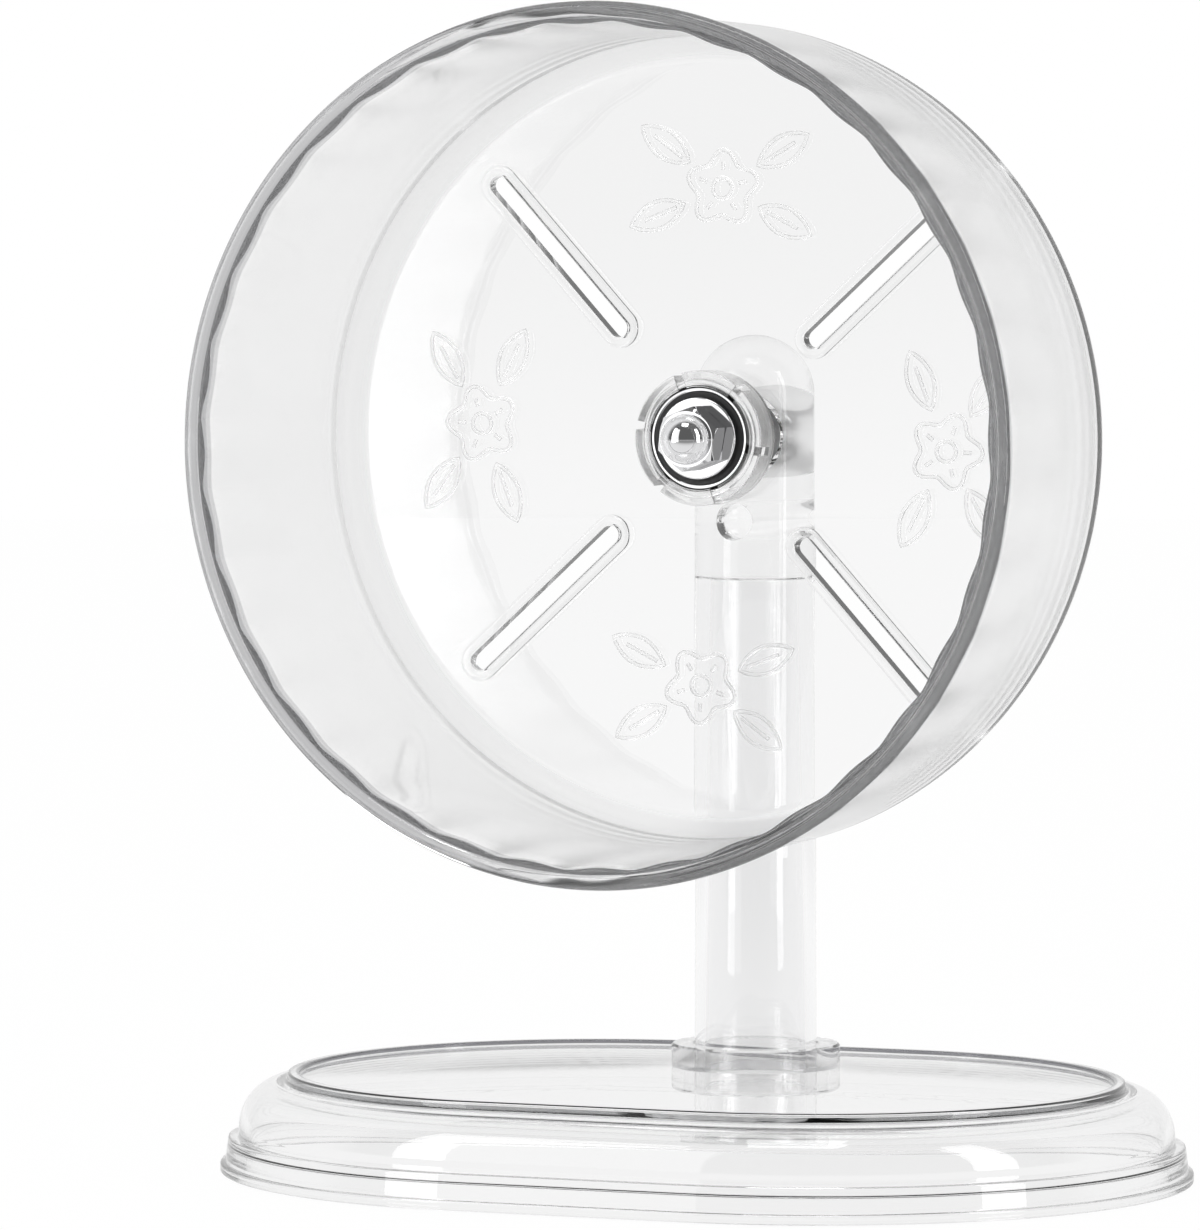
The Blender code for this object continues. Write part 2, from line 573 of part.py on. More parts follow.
def make_base(materials):
    bm = bmesh.new()
    rings = [oval_ring(bm, inset, height) for inset, height in base_profile()]
    for upper, lower in zip(rings, rings[1:]):
        for here in range(len(upper)):
            following = (here + 1) % len(upper)
            bm.faces.new((upper[here], upper[following], lower[following], lower[here]))
    bm.faces.new(rings[0])
    bm.faces.new(rings[-1])
    base = add_object("base", bm, materials["clear"])

    edge = LIP_EDGE
    floor = FOOT_HEIGHT - SOCKET_FLOOR
    under = DECK_HEIGHT - BASE_WALL / 2
    collar = [(0, floor), (SOCKET_RADIUS, floor), (SOCKET_RADIUS, under), (COLLAR_RADIUS, under)]
    collar += [(COLLAR_RADIUS, COLLAR_TOP - edge), (COLLAR_RADIUS - edge, COLLAR_TOP), (0, COLLAR_TOP)]
    collar_body = add_object(
        "post_collar", turned(collar, ALONG_Z, POST_STEPS, closed=False), location=POST_PLACE
    )
    combine(base, collar_body, "UNION")

    bore = rod_profile(COLLAR_BORE, FOOT_HEIGHT, COLLAR_TOP + CUT_OVERRUN)
    bore_cut = turned(bore, ALONG_Z, POST_STEPS, closed=False)
    combine(base, add_object("collar_bore", bore_cut, location=POST_PLACE), "DIFFERENCE")


def main():
    clear_scene()
    materials = make_materials()
    wheel_axis = add_axis("wheel_axis")
    ball_axis = add_axis("ball_set_axis")
    make_drum(materials, wheel_axis)
    make_retainer(materials, wheel_axis)
    make_bearing(materials, wheel_axis, ball_axis)
    make_axle(materials)
    make_dome_nut(materials)
    make_post(materials)
    make_base(materials)


main()
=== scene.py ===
# %% [markdown]
# # A clear hamster wheel
# A clear plastic drum turns on a ball bearing in front of a domed post, and the post stands in
# an oval base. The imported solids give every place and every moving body. They are faceted, and
# facets show badly in clear plastic, so each piece that can be seen is modelled again here,
# smoother and with its small rounds, and stands for its solid.

# %% Load the frame
import math

import bmesh
import bpy
from mathutils import Matrix, Vector


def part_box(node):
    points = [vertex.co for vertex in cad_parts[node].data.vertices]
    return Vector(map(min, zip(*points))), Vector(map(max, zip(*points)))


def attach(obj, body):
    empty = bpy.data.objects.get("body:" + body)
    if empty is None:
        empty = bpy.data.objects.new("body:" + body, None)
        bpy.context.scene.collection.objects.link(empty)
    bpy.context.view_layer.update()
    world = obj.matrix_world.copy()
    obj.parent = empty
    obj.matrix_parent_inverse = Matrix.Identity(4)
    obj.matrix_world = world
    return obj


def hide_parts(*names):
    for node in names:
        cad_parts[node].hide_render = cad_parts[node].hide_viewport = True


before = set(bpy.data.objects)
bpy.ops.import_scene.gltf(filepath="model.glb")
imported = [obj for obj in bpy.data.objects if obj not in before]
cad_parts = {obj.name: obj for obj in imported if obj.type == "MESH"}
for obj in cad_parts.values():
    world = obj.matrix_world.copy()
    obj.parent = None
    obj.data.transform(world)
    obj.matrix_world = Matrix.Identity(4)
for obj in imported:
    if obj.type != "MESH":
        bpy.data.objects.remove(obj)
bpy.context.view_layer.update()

scene = bpy.context.scene

# %% [markdown]
# ## Measures
# All lengths are written in millimetres and turned into metres once. The axle is the line that
# everything round is measured from. Its height is read from the frame, as are the front of the
# rim and the back of the disc, so the new pieces sit exactly where the solids are.

# %% Measures read from the frame
MM = 0.001
UP = Vector((0, 0, 1))
BACK = Vector((0, 1, 0))
DISC_THICKNESS = 3.0
drum_low, drum_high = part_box("wheel_drum")
AXLE = Vector((0, 0, (drum_low.z + drum_high.z) / 2))
RIM_FRONT = drum_low.y / MM
RIM_RADIUS = (drum_high.z - drum_low.z) / 2 / MM
DISC_BACK = drum_high.y / MM
DISC_FRONT = DISC_BACK - DISC_THICKNESS


def along_axle(node):
    """The front and the back of a piece along the axle, in millimetres."""
    low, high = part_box(node)
    return low.y / MM, high.y / MM


print(f"axle {AXLE.z / MM:.1f} mm up, rim {RIM_FRONT:.1f} to {DISC_BACK:.1f} mm, "
      f"radius {RIM_RADIUS:.1f} mm")

# %% [markdown]
# ## Helpers for turned pieces
# Nearly every piece is a profile turned round an axis, so one helper spins a line of points. It
# could be a curve with a Screw modifier, but the bmesh spin leaves a plain mesh that can be
# joined to its neighbours point by point, which clear plastic needs: a wall inside the plastic
# would show.

# %% Turning and joining
SECTORS = 12
MERGE = 0.002 * MM


def turn_profile(bm, points, axis, centre, steps, closed=False):
    """Turns a line of points once round the axis, as twelve like sectors, and adds them to bm."""
    turned = bmesh.new()
    verts = [turned.verts.new(point) for point in points]
    pairs = list(zip(verts, verts[1:]))
    if closed:
        pairs.append((verts[-1], verts[0]))
    edges = [turned.edges.new(pair) for pair in pairs]
    sector = math.tau / SECTORS
    bmesh.ops.spin(turned, geom=verts + edges, cent=centre, axis=axis, angle=sector,
                   steps=steps // SECTORS)
    whole = turned.verts[:] + turned.edges[:] + turned.faces[:]
    bmesh.ops.spin(turned, geom=whole, cent=centre, axis=axis, angle=math.tau - sector,
                   steps=SECTORS - 1, use_duplicate=True)
    bmesh.ops.remove_doubles(turned, verts=turned.verts, dist=MERGE)
    add_to(bm, turned)


def add_to(bm, piece):
    """Moves all of a finished bmesh into another one."""
    mesh = bpy.data.meshes.new("passing")
    piece.to_mesh(mesh)
    piece.free()
    bm.from_mesh(mesh)
    bpy.data.meshes.remove(mesh)


def turn_on_axle(bm, profile, steps, closed=False):
    points = [AXLE + Vector((radius * MM, along * MM, 0)) for radius, along in profile]
    turn_profile(bm, points, BACK, AXLE, steps, closed)


def round_corner(centre, radius, start, end, steps):
    """Points of a round corner in a profile, with angles in degrees."""
    angles = [math.radians(start + (end - start) * step / steps) for step in range(steps + 1)]
    return [(centre[0] + radius * math.cos(a), centre[1] + radius * math.sin(a)) for a in angles]


def round_rim(radius, front, back, edge):
    """The outside of a ring, with its front and back edges rounded."""
    rim = round_corner((radius - edge, front + edge), edge, -90, 0, 4)
    return rim + round_corner((radius - edge, back - edge), edge, 0, 90, 4)


print("turning helpers ready")

# %% [markdown]
# A piece is finished the same way each time: its doubles are merged, its faces turned outwards,
# and it is shaded smooth except at real edges. Large flat faces next to small rounds would
# shade as if they were curved, so a Weighted Normal modifier gives the flat faces the say.

# %% Finishing a piece
FLAT_WEIGHT = 90


def add_object(name, data):
    thing = bpy.data.objects.new(name, data)
    scene.collection.objects.link(thing)
    return thing


def mesh_from(name, bm):
    """Closes a bmesh, turns its faces outwards and leaves it as a plain mesh."""
    bmesh.ops.remove_doubles(bm, verts=bm.verts, dist=MERGE)
    bmesh.ops.recalc_face_normals(bm, faces=bm.faces)
    mesh = bpy.data.meshes.new(name)
    bm.to_mesh(mesh)
    bm.free()
    return mesh


def count_open_edges(mesh):
    uses = {}
    for polygon in mesh.polygons:
        for key in polygon.edge_keys:
            uses[key] = uses.get(key, 0) + 1
    return sum(1 for count in uses.values() if count != 2)


def finish_mesh(name, mesh, material, body, node=None, sharp=32):
    mesh.shade_smooth()
    mesh.set_sharp_from_angle(angle=math.radians(sharp))
    mesh.materials.clear()
    mesh.materials.append(material)
    piece = add_object(name, mesh)
    flats = piece.modifiers.new("flat_faces", "WEIGHTED_NORMAL")
    flats.keep_sharp = True
    flats.weight = FLAT_WEIGHT
    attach(piece, body)
    if node:
        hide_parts(node)
    open_edges = count_open_edges(mesh)
    print(f"{name}: {len(mesh.polygons)} faces, {open_edges} open edges, on {body}")


def finish_piece(name, bm, material, body, node=None, sharp=32):
    finish_mesh(name, mesh_from(name, bm), material, body, node, sharp)


def finish_ring(name, profile, steps, material, body, node):
    """Turns a closed profile on the axle and finishes it."""
    ring = bmesh.new()
    turn_on_axle(ring, profile, steps, closed=True)
    finish_piece(name, ring, material, body, node)


print("finishing helpers ready")

# %% [markdown]
# Holes that cross a round wall, such as the one through the post, have no simple profile. They
# are cut with a Boolean, and the result is kept as a plain mesh, so that no cutter stays behind.

# %% Cutting and joining with a Boolean
def solid_from(bm):
    return add_object("solid", mesh_from("solid", bm))


def turned_solid(profile, steps):
    bm = bmesh.new()
    turn_on_axle(bm, profile, steps)
    return solid_from(bm)


def combine(first, second, operation):
    """A new solid from two after a Boolean. Both of the old ones are removed."""
    modifier = first.modifiers.new("combine", "BOOLEAN")
    modifier.operation = operation
    modifier.solver = "EXACT"
    modifier.object = second
    graph = bpy.context.evaluated_depsgraph_get()
    mesh = bpy.data.meshes.new_from_object(first.evaluated_get(graph))
    bpy.data.objects.remove(first)
    bpy.data.objects.remove(second)
    return add_object("solid", mesh)


def take_mesh(solid):
    mesh = solid.data
    bpy.data.objects.remove(solid)
    return mesh


print("cutting helpers ready")

# %% [markdown]
# ## Nodes
# The surfaces, the floor and the room are all made of the same few kinds of nodes. Written out,
# each node takes four or five lines, so one helper adds a node, fills its inputs and gives back
# its outputs. An input that is another node's output is linked, and any other is set.

# %% Adding nodes
def add_node(tree, kind, inputs=None, **settings):
    node = tree.nodes.new("ShaderNode" + kind)
    for name, value in settings.items():
        setattr(node, name, value)
    for name, value in (inputs or {}).items():
        if isinstance(value, bpy.types.NodeSocket):
            tree.links.new(value, node.inputs[name])
        else:
            node.inputs[name].default_value = value
    return node.outputs


def add_math(tree, operation, *values):
    return add_node(tree, "Math", dict(enumerate(values)), operation=operation)[0]


def add_vector(tree, operation, *values):
    """A step with vectors. A length and a dot product are numbers, and the rest are vectors."""
    outputs = add_node(tree, "VectorMath", dict(enumerate(values)), operation=operation)
    return outputs["Value" if operation in ("LENGTH", "DOT_PRODUCT") else "Vector"]


def map_range(tree, value, low, high, start=0.0, end=1.0, **settings):
    """Goes from start to end while the value goes from low to high."""
    inputs = {"Value": value, "From Min": low, "From Max": high, "To Min": start, "To Max": end}
    return add_node(tree, "MapRange", inputs, **settings)["Result"]


def mix_colours(tree, share, first, second):
    inputs = {"Factor": share, "A": first, "B": second}
    return add_node(tree, "Mix", inputs, data_type="RGBA")["Result"]


def object_place(tree):
    return add_node(tree, "TexCoord")["Object"]


def grey(tone):
    return (tone, tone, tone, 1)


print("node helpers ready")

# %% [markdown]
# ## Clear plastic
# The drum, the retainer, the post and the base are clear moulded plastic. A clear moulding is
# never quite even: it has a faint haze, slow waves where the melt cooled, and fine rubbed marks.
# The shader is a plain transmitting one with a faint grey tint in its depth. Noise in Object
# coordinates drives its roughness and a very low bump.

# %% The clear plastic
PLASTIC_IOR = 1.49
PLASTIC_TINT = (0.385, 0.39, 0.4, 1)
RUB_SCALE, RUB_DETAIL = 60, 3
WAVE_STRENGTH = 0.25
NOISE_LOW, NOISE_HIGH = 0.3, 0.7


def start_material(name, colour):
    material = bpy.data.materials.new(name)
    material.use_nodes = True
    surface = material.node_tree.nodes["Principled BSDF"].inputs
    surface["Base Color"].default_value = (*colour, 1)
    return material, material.node_tree, surface


def add_noise(tree, scale, detail, stretch=None):
    place = object_place(tree)
    if stretch:
        place = add_node(tree, "Mapping", {"Vector": place, "Scale": stretch})["Vector"]
    return add_node(tree, "TexNoise", {"Vector": place, "Scale": scale, "Detail": detail})["Fac"]


def add_wear(tree, surface, noise, smooth, rough):
    """Lets noise drive the roughness from smooth to rough."""
    wear = map_range(tree, noise, NOISE_LOW, NOISE_HIGH, smooth, rough)
    tree.links.new(wear, surface["Roughness"])


def add_bump(tree, surface, noise, strength, height):
    bump = add_node(tree, "Bump", {"Height": noise, "Strength": strength, "Distance": height * MM})
    tree.links.new(bump["Normal"], surface["Normal"])


def make_clear_plastic(name, colour, density, smooth, rough, wave_scale, wave_height):
    material, tree, surface = start_material(name, colour)
    tint = add_node(tree, "VolumeAbsorption", {"Color": PLASTIC_TINT, "Density": density})
    tree.links.new(tint["Volume"], tree.nodes["Material Output"].inputs["Volume"])
    surface["Transmission Weight"].default_value = 1.0
    surface["IOR"].default_value = PLASTIC_IOR
    add_wear(tree, surface, add_noise(tree, RUB_SCALE, RUB_DETAIL), smooth, rough)
    add_bump(tree, surface, add_noise(tree, wave_scale, 1), WAVE_STRENGTH, wave_height)
    return material


CLEAR = (0.99, 0.99, 0.99)
drum_clear = make_clear_plastic("drum_clear", CLEAR, 10, 0.0, 0.02, 40, 0.02)
ring_clear = make_clear_plastic("ring_clear", CLEAR, 6, 0.08, 0.16, 60, 0.02)
post_clear = make_clear_plastic("post_clear", CLEAR, 3, 0.0, 0.02, 30, 0.05)
base_clear = make_clear_plastic("base_clear", CLEAR, 9, 0.0, 0.02, 25, 0.05)
print("clear plastics made")

# %% [markdown]
# Some places of a moulding look greyer or hazier than the rest, such as the drum's lip and the
# inside of its wall. The grey is shade, painted into the colour. A second material for them would
# put two kinds of plastic in one skin, and light would not know which one it is in. So each
# moulding keeps one material, and the place in Object coordinates drives its colour, with the
# painted shade, and its roughness.

# %% Painted shade and haze by place
def place_in(material, part):
    """One of the Object coordinates, X, Y or Z."""
    return add_node(material.node_tree, "SeparateXYZ", {0: object_place(material.node_tree)})[part]


def distance_in(material):
    """The distance from the axle's line."""
    tree = material.node_tree
    from_axle = add_vector(tree, "MULTIPLY_ADD", object_place(tree), (1, 0, 1), -AXLE)
    return add_vector(tree, "LENGTH", from_axle)


def share_past(material, length, place, span, start=0.0, end=1.0):
    """Goes from start to end while a length runs through a span past a place, in millimetres."""
    low, high = ((place + reach) * MM for reach in span)
    return map_range(material.node_tree, length, low, high, start, end)


def overlap(material, first, second):
    return add_math(material.node_tree, "MULTIPLY", first, second)


def paint_shade_where(material, share, tint):
    """Blends a second colour, painted shade, into a material's own where the share rises from 0 to
    1.
    """
    tree = material.node_tree
    socket = tree.nodes["Principled BSDF"].inputs["Base Color"]
    tree.links.new(mix_colours(tree, share, socket.default_value, (*tint, 1)), socket)


def haze_where(material, share, rough):
    """Adds to a material's roughness where the share rises from 0 to 1."""
    tree = material.node_tree
    socket = tree.nodes["Principled BSDF"].inputs["Roughness"]
    wear = socket.links[0].from_socket
    tree.links.new(add_math(tree, "MULTIPLY_ADD", share, rough, wear), socket)


print("place helpers ready")

# %% [markdown]
# ## Metal and rubber
# The dome nut, the washer and the races are bright plated steel with faint polishing marks. The
# bush has a satin plating, and the spacer is ground steel, with fine rings from the wheel. The
# seals are dull black rubber, and the cage is dull nylon.

# %% Metal and rubber
MARK_HEIGHT, MARK_STRENGTH = 0.02, 0.05
GRAIN_SCALE, GRAIN_STRENGTH = 2500, 0.3
GRAIN_SPREAD = 0.12


def make_metal(name, colour, smooth, rough, mark_scale, mark_stretch):
    material, tree, surface = start_material(name, colour)
    surface["Metallic"].default_value = 1.0
    marks = add_noise(tree, mark_scale, 4, mark_stretch)
    add_wear(tree, surface, marks, smooth, rough)
    add_bump(tree, surface, marks, MARK_STRENGTH, MARK_HEIGHT)
    return material


def make_rubber(name, colour, rough):
    material, tree, surface = start_material(name, colour)
    grain = add_noise(tree, GRAIN_SCALE, 2)
    add_wear(tree, surface, grain, rough - GRAIN_SPREAD, rough + GRAIN_SPREAD)
    add_bump(tree, surface, grain, GRAIN_STRENGTH, MARK_HEIGHT)
    return material


PLATE = (0.86, 0.86, 0.87)
plated = make_metal("plated_steel", PLATE, 0.02, 0.07, 900, (1, 1, 1))
race_plate = make_metal("race_plate", PLATE, 0.02, 0.07, 900, (1, 1, 1))
satin = make_metal("satin_plate", (0.9, 0.9, 0.9), 0.28, 0.42, 500, (1, 6, 1))
ground = make_metal("ground_steel", (0.72, 0.72, 0.73), 0.12, 0.3, 300, (1, 12, 1))
rubber = make_rubber("seal_rubber", (0.014, 0.014, 0.015), 0.5)
nylon = make_rubber("cage_nylon", (0.55, 0.5, 0.42), 0.55)
print("metals, rubber and nylon made")

# %% [markdown]
# ## The drum
# The drum is one moulding: a bead round the open front, a drafted wall whose inside carries low
# running bars, a rounded corner and a flat back disc with four slots and a hub. A lathe gives the
# wall from the disc's front round the bead to the disc's back.

# %% The drum's wall
TREAD_BARS, BAR_STEPS = 36, 14
WALL_CORNER, WALL_STEPS = 6.5, 40
GROOVE_FRONT, GROOVE_BACK = RIM_RADIUS - 4.65, RIM_RADIUS - 7.0
OUTER_FRONT = RIM_RADIUS - 2.0
OUTER_BACK = OUTER_FRONT - 1.6
BEAD, BEAD_END = 2.0, 3.0
LIP_ROUND = 0.7
WALL_EDGE = RIM_FRONT + 1.0


def wall_profile():
    inner_corner = (GROOVE_BACK - WALL_CORNER, DISC_FRONT - WALL_CORNER)
    outer_corner = (OUTER_BACK - WALL_CORNER, DISC_BACK - WALL_CORNER)
    lip = (GROOVE_FRONT + LIP_ROUND, WALL_EDGE + LIP_ROUND)
    profile = round_corner(inner_corner, WALL_CORNER, 90, 0, 14)
    start = profile[-1]
    for step in range(1, WALL_STEPS + 1):
        part = 1 - (1 - step / WALL_STEPS) ** 2
        profile.append((start[0] + (GROOVE_FRONT - start[0]) * part,
                        start[1] + (WALL_EDGE + LIP_ROUND - start[1]) * part))
    profile += round_corner(lip, LIP_ROUND, 180, 270, 8)[1:]
    profile += round_corner((RIM_RADIUS - BEAD, RIM_FRONT + BEAD), BEAD, 211, 360, 22)
    profile += [(RIM_RADIUS, RIM_FRONT + BEAD_END)]
    profile += round_corner((RIM_RADIUS - 1.0, RIM_FRONT + BEAD_END), 1.0, 15, 60, 5)
    profile += [(OUTER_FRONT + 0.5, RIM_FRONT + 4.5), (OUTER_FRONT + 0.12, RIM_FRONT + 5.3),
                (OUTER_FRONT, RIM_FRONT + 6.2)]
    return profile + round_corner(outer_corner, WALL_CORNER, 0, 90, 16)


drum = bmesh.new()
turn_on_axle(drum, wall_profile(), TREAD_BARS * BAR_STEPS)
print("drum wall", len(drum.faces), "faces")

# %% [markdown]
# The running bars could be cut one by one, but a mould leaves them soft, with no edge between bar
# and groove. So the inside of the wall is pushed inwards in a wave, higher at the front than at
# the back, as the draft of the mould leaves it.

# %% The running bars
GROOVE_TURN = math.radians(6.4)
SHORT_BAR, SHORT_REACH = 0.65, 14
LONG_BAR, LONG_REACH = 0.25, 46
BAR_FULLNESS = 0.8


def bar_height(behind_rim):
    """How far a bar stands out of the wall, by its distance behind the rim."""
    short = max(0.0, 1 - behind_rim / SHORT_REACH) ** 2
    return SHORT_BAR * short + LONG_BAR * max(0.0, 1 - behind_rim / LONG_REACH)


def raise_bars(bm):
    """Pushes the inside of the wall inwards between the grooves."""
    for vert in bm.verts:
        out = vert.co - AXLE
        along = out.y / MM
        radius = math.hypot(out.x, out.z) / MM
        depth = (along - RIM_FRONT) / (DISC_FRONT - WALL_CORNER - RIM_FRONT)
        wall_here = GROOVE_FRONT + (GROOVE_BACK - GROOVE_FRONT) * depth
        on_wall = min(1.0, (wall_here + LIP_ROUND - radius) / LIP_ROUND)
        if on_wall <= 0 or depth > 1:
            continue
        angle = math.atan2(out.z, out.x) - GROOVE_TURN
        bar = (0.5 - 0.5 * math.cos(angle * TREAD_BARS)) ** BAR_FULLNESS
        shrink = (radius - bar_height(along - WALL_EDGE) * bar * on_wall) / radius
        vert.co.x = AXLE.x + out.x * shrink
        vert.co.z = AXLE.z + out.z * shrink


raise_bars(drum)
print(f"{TREAD_BARS} bars, {bar_height(0):.2f} mm high at the front")

# %% [markdown]
# Each slot is a long hole with a raised, rounded frame on the front of the disc. Its edge is the
# same line all the way round, so a short profile is swept round it: half a turn at one end, a
# straight run, half a turn at the other end and a straight run back. The base's outline is a
# larger version of the same track, so the helper serves both.

# %% Sweeping a profile round a track
def sweep_track(bm, profile, middle, along, axis, half_straight, steps):
    """Sweeps (out, up) points round a track of two half turns and two straight runs."""
    first = middle + along * half_straight
    second = middle - along * half_straight
    side = axis.cross(along)
    points = [first - side * out + axis * up for out, up in profile]
    track = bmesh.new()
    verts = [track.verts.new(point) for point in points]
    strip = [track.edges.new(pair) for pair in zip(verts, verts[1:])]
    made = bmesh.ops.spin(track, geom=verts + strip, cent=first, axis=axis, angle=math.pi,
                          steps=steps)
    run = extrude_run(track, made["geom_last"], second - first)
    made = bmesh.ops.spin(track, geom=run, cent=second, axis=axis, angle=math.pi, steps=steps)
    extrude_run(track, made["geom_last"], first - second)
    bmesh.ops.remove_doubles(track, verts=track.verts, dist=MERGE)
    add_to(bm, track)


def extrude_run(bm, geom, reach):
    edges = [item for item in geom if isinstance(item, bmesh.types.BMEdge)]
    made = bmesh.ops.extrude_edge_only(bm, edges=edges)["geom"]
    verts = [item for item in made if isinstance(item, bmesh.types.BMVert)]
    bmesh.ops.translate(bm, verts=verts, vec=reach)
    return [item for item in made if not isinstance(item, bmesh.types.BMFace)]


print("track helper ready")

# %% The four slots
SLOTS, SLOT_TURN = 4, 42.4
SLOT_HALF = 2.25
SLOT_INNER, SLOT_OUTER = 36.0, 83.3
FRAME_WIDTH, FRAME_RISE = 2.7, 1.2
FRAME_OUTSIDE, FRAME_INSIDE = 0.9, 0.5
SMALL_EDGE = 0.3


def slot_profile():
    """From the disc's front up over the frame and down through the disc, as (out, along) pairs."""
    outside = SLOT_HALF + FRAME_WIDTH
    top = DISC_FRONT - FRAME_RISE
    profile = [(outside, DISC_FRONT)]
    profile += round_corner((outside - FRAME_OUTSIDE, top + FRAME_OUTSIDE), FRAME_OUTSIDE,
                            0, -90, 6)
    profile += round_corner((SLOT_HALF + FRAME_INSIDE, top + FRAME_INSIDE), FRAME_INSIDE,
                            -90, -180, 4)
    profile += [(SLOT_HALF, DISC_BACK - SMALL_EDGE), (SLOT_HALF + SMALL_EDGE, DISC_BACK)]
    return [(out * MM, along * MM) for out, along in profile]


for number in range(SLOTS):
    angle = math.radians(SLOT_TURN + 360 / SLOTS * number)
    along_slot = Vector((math.cos(angle), 0, math.sin(angle)))
    slot_middle = AXLE + along_slot * (SLOT_INNER + SLOT_OUTER) / 2 * MM
    sweep_track(drum, slot_profile(), slot_middle, along_slot.normalized(), BACK,
                (SLOT_OUTER - SLOT_INNER) / 2 * MM, 20)
print("drum with slots", len(drum.faces), "faces")

# %% [markdown]
# The hub is a short tube that holds the bearing, with a shoulder behind it. With the wall, the
# slots and the hub in place, the disc is only the flat space between them, once at the front and
# once at the back. Triangle fill closes it round all the holes at once, so the drum becomes one
# skin with nothing inside.

# %% The hub and the disc
HUB_RADIUS, HUB_BORE, SHOULDER_BORE = 14.5, 13.2, 11.2
FIT_GAP = 0.2
ON_PLANE = 0.01 * MM
BEARING_FRONT, BEARING_BACK = along_axle("bearing_outer_race")
SEAT_BACK = BEARING_BACK + FIT_GAP
hub = [(HUB_RADIUS, DISC_FRONT), (HUB_RADIUS, BEARING_FRONT + SMALL_EDGE)]
hub += [(HUB_RADIUS - SMALL_EDGE, BEARING_FRONT), (HUB_BORE + SMALL_EDGE, BEARING_FRONT)]
hub += [(HUB_BORE, BEARING_FRONT + SMALL_EDGE), (HUB_BORE, SEAT_BACK), (SHOULDER_BORE, SEAT_BACK)]
hub += [(SHOULDER_BORE, DISC_BACK - SMALL_EDGE), (SHOULDER_BORE + SMALL_EDGE, DISC_BACK)]
turn_on_axle(drum, hub, 96)


def fill_plane(bm, axis, place):
    """Fills the flat space between all open edges that lie on a plane."""
    rim = [edge for edge in bm.edges if edge.is_boundary
           and all(abs(vert.co.dot(axis) - place) < ON_PLANE for vert in edge.verts)]
    made = bmesh.ops.triangle_fill(bm, edges=rim, use_beauty=True, use_dissolve=False, normal=axis)
    return sum(isinstance(item, bmesh.types.BMFace) for item in made["geom"])


print("disc front", fill_plane(drum, BACK, DISC_FRONT * MM), "faces")
print("disc back", fill_plane(drum, BACK, DISC_BACK * MM), "faces")
finish_piece("clear_drum", drum, drum_clear, "wheel", "wheel_drum")

# %% [markdown]
# From the front one looks down the length of the lip, so it shows as a dark grey ring, and that
# shade is painted into the lip's colour. The wall behind it is a little hazy, most of all in the
# corner, and the disc is clear. Without the haze the wall would mirror itself in many fine rings.
# The painted shade on the lip follows its depth behind the rim, and the haze follows the depth and
# the distance from the axle.

# %% The drum's painted lip shade and haze
LIP_SHADE_PAINT = (0.5, 0.5, 0.51)
WALL_HAZE, CORNER_HAZE = 0.09, 0.3
LIP_FACE, LIP_END = (0.3, 1.0), (5.0, 5.8)
WALL_START, WALL_INSIDE = (6, 9), (-6, -3)
depth = place_in(drum_clear, "Y")
lip_end = share_past(drum_clear, depth, RIM_FRONT, LIP_END, 1.0, 0.0)
lip_face = share_past(drum_clear, depth, RIM_FRONT, LIP_FACE, 0.4, 1.0)
# Painted shade: the lip's colour is darkened to the grey ring seen down its length.
paint_shade_where(drum_clear, overlap(drum_clear, lip_end, lip_face), LIP_SHADE_PAINT)
behind_lip = share_past(drum_clear, depth, RIM_FRONT, WALL_START)
in_corner = share_past(drum_clear, depth, DISC_FRONT, (-WALL_CORNER, 0))
on_wall = share_past(drum_clear, distance_in(drum_clear), GROOVE_BACK, WALL_INSIDE)
haze_where(drum_clear, overlap(drum_clear, behind_lip, on_wall), WALL_HAZE)
haze_where(drum_clear, overlap(drum_clear, in_corner, on_wall), CORNER_HAZE)
print("drum tinted at the lip, hazy on the wall")

# %% [markdown]
# The disc carries a raised line drawing in each space between the slots: a plain flower with a
# sprig of leaves on either side. The lines could be drawn as a bump, but then they would not catch
# light at their edges. They are drawn as curves with a round section, made a mesh, and pressed
# flat on the disc.

# %% Drawing raised lines
FLOWER_RADIUS = 61.0
LINE_HALF, LINE_PRESS = 0.5, 0.5
LINE_PLACE = DISC_FRONT - 0.27
raised = bpy.data.curves.new("raised_flowers", "CURVE")
raised.dimensions = "3D"
raised.bevel_depth = LINE_HALF * MM
raised.bevel_resolution = 2
raised.use_fill_caps = True


def draw_line(turn, points, closed):
    """Draws one line from (across, outward) points, in millimetres from the flower's middle."""
    outward = Vector((math.cos(turn), 0, math.sin(turn)))
    across = Vector((math.sin(turn), 0, -math.cos(turn)))
    spline = raised.splines.new("POLY")
    spline.points.add(len(points) - 1)
    for point, (right, up) in zip(spline.points, points):
        place = AXLE + outward * (FLOWER_RADIUS + up) * MM + across * right * MM
        point.co = (*(place + BACK * LINE_PLACE * MM), 1)
    spline.use_cyclic_u = closed


def petals(count, radius, wave, lobes):
    """A closed line round the flower's middle, with one wave for each petal."""
    line = []
    for step in range(count):
        angle = math.tau * step / count
        reach = radius * (1 + wave * math.cos(lobes * angle))
        line.append((reach * math.sin(angle), reach * math.cos(angle)))
    return line


def leaf(side, tilt, start, length, half, steps=14):
    """The outline of a leaf that grows sideways from the flower, and the line along its middle."""
    ahead = Vector((side * math.cos(tilt), math.sin(tilt)))
    aside = Vector((-ahead.y, ahead.x))

    def place(part, bulge):
        width = half * bulge * math.sin(math.pi * part) ** 0.8
        return ahead * start + ahead * length * part + aside * width

    parts = [step / steps for step in range(steps + 1)]
    outline = [place(part, 1) for part in parts] + [place(part, -1) for part in parts[-2:0:-1]]
    return outline, [place(part, 0) for part in (0.14, 0.3, 0.45, 0.6, 0.74)]


print("line helpers ready")

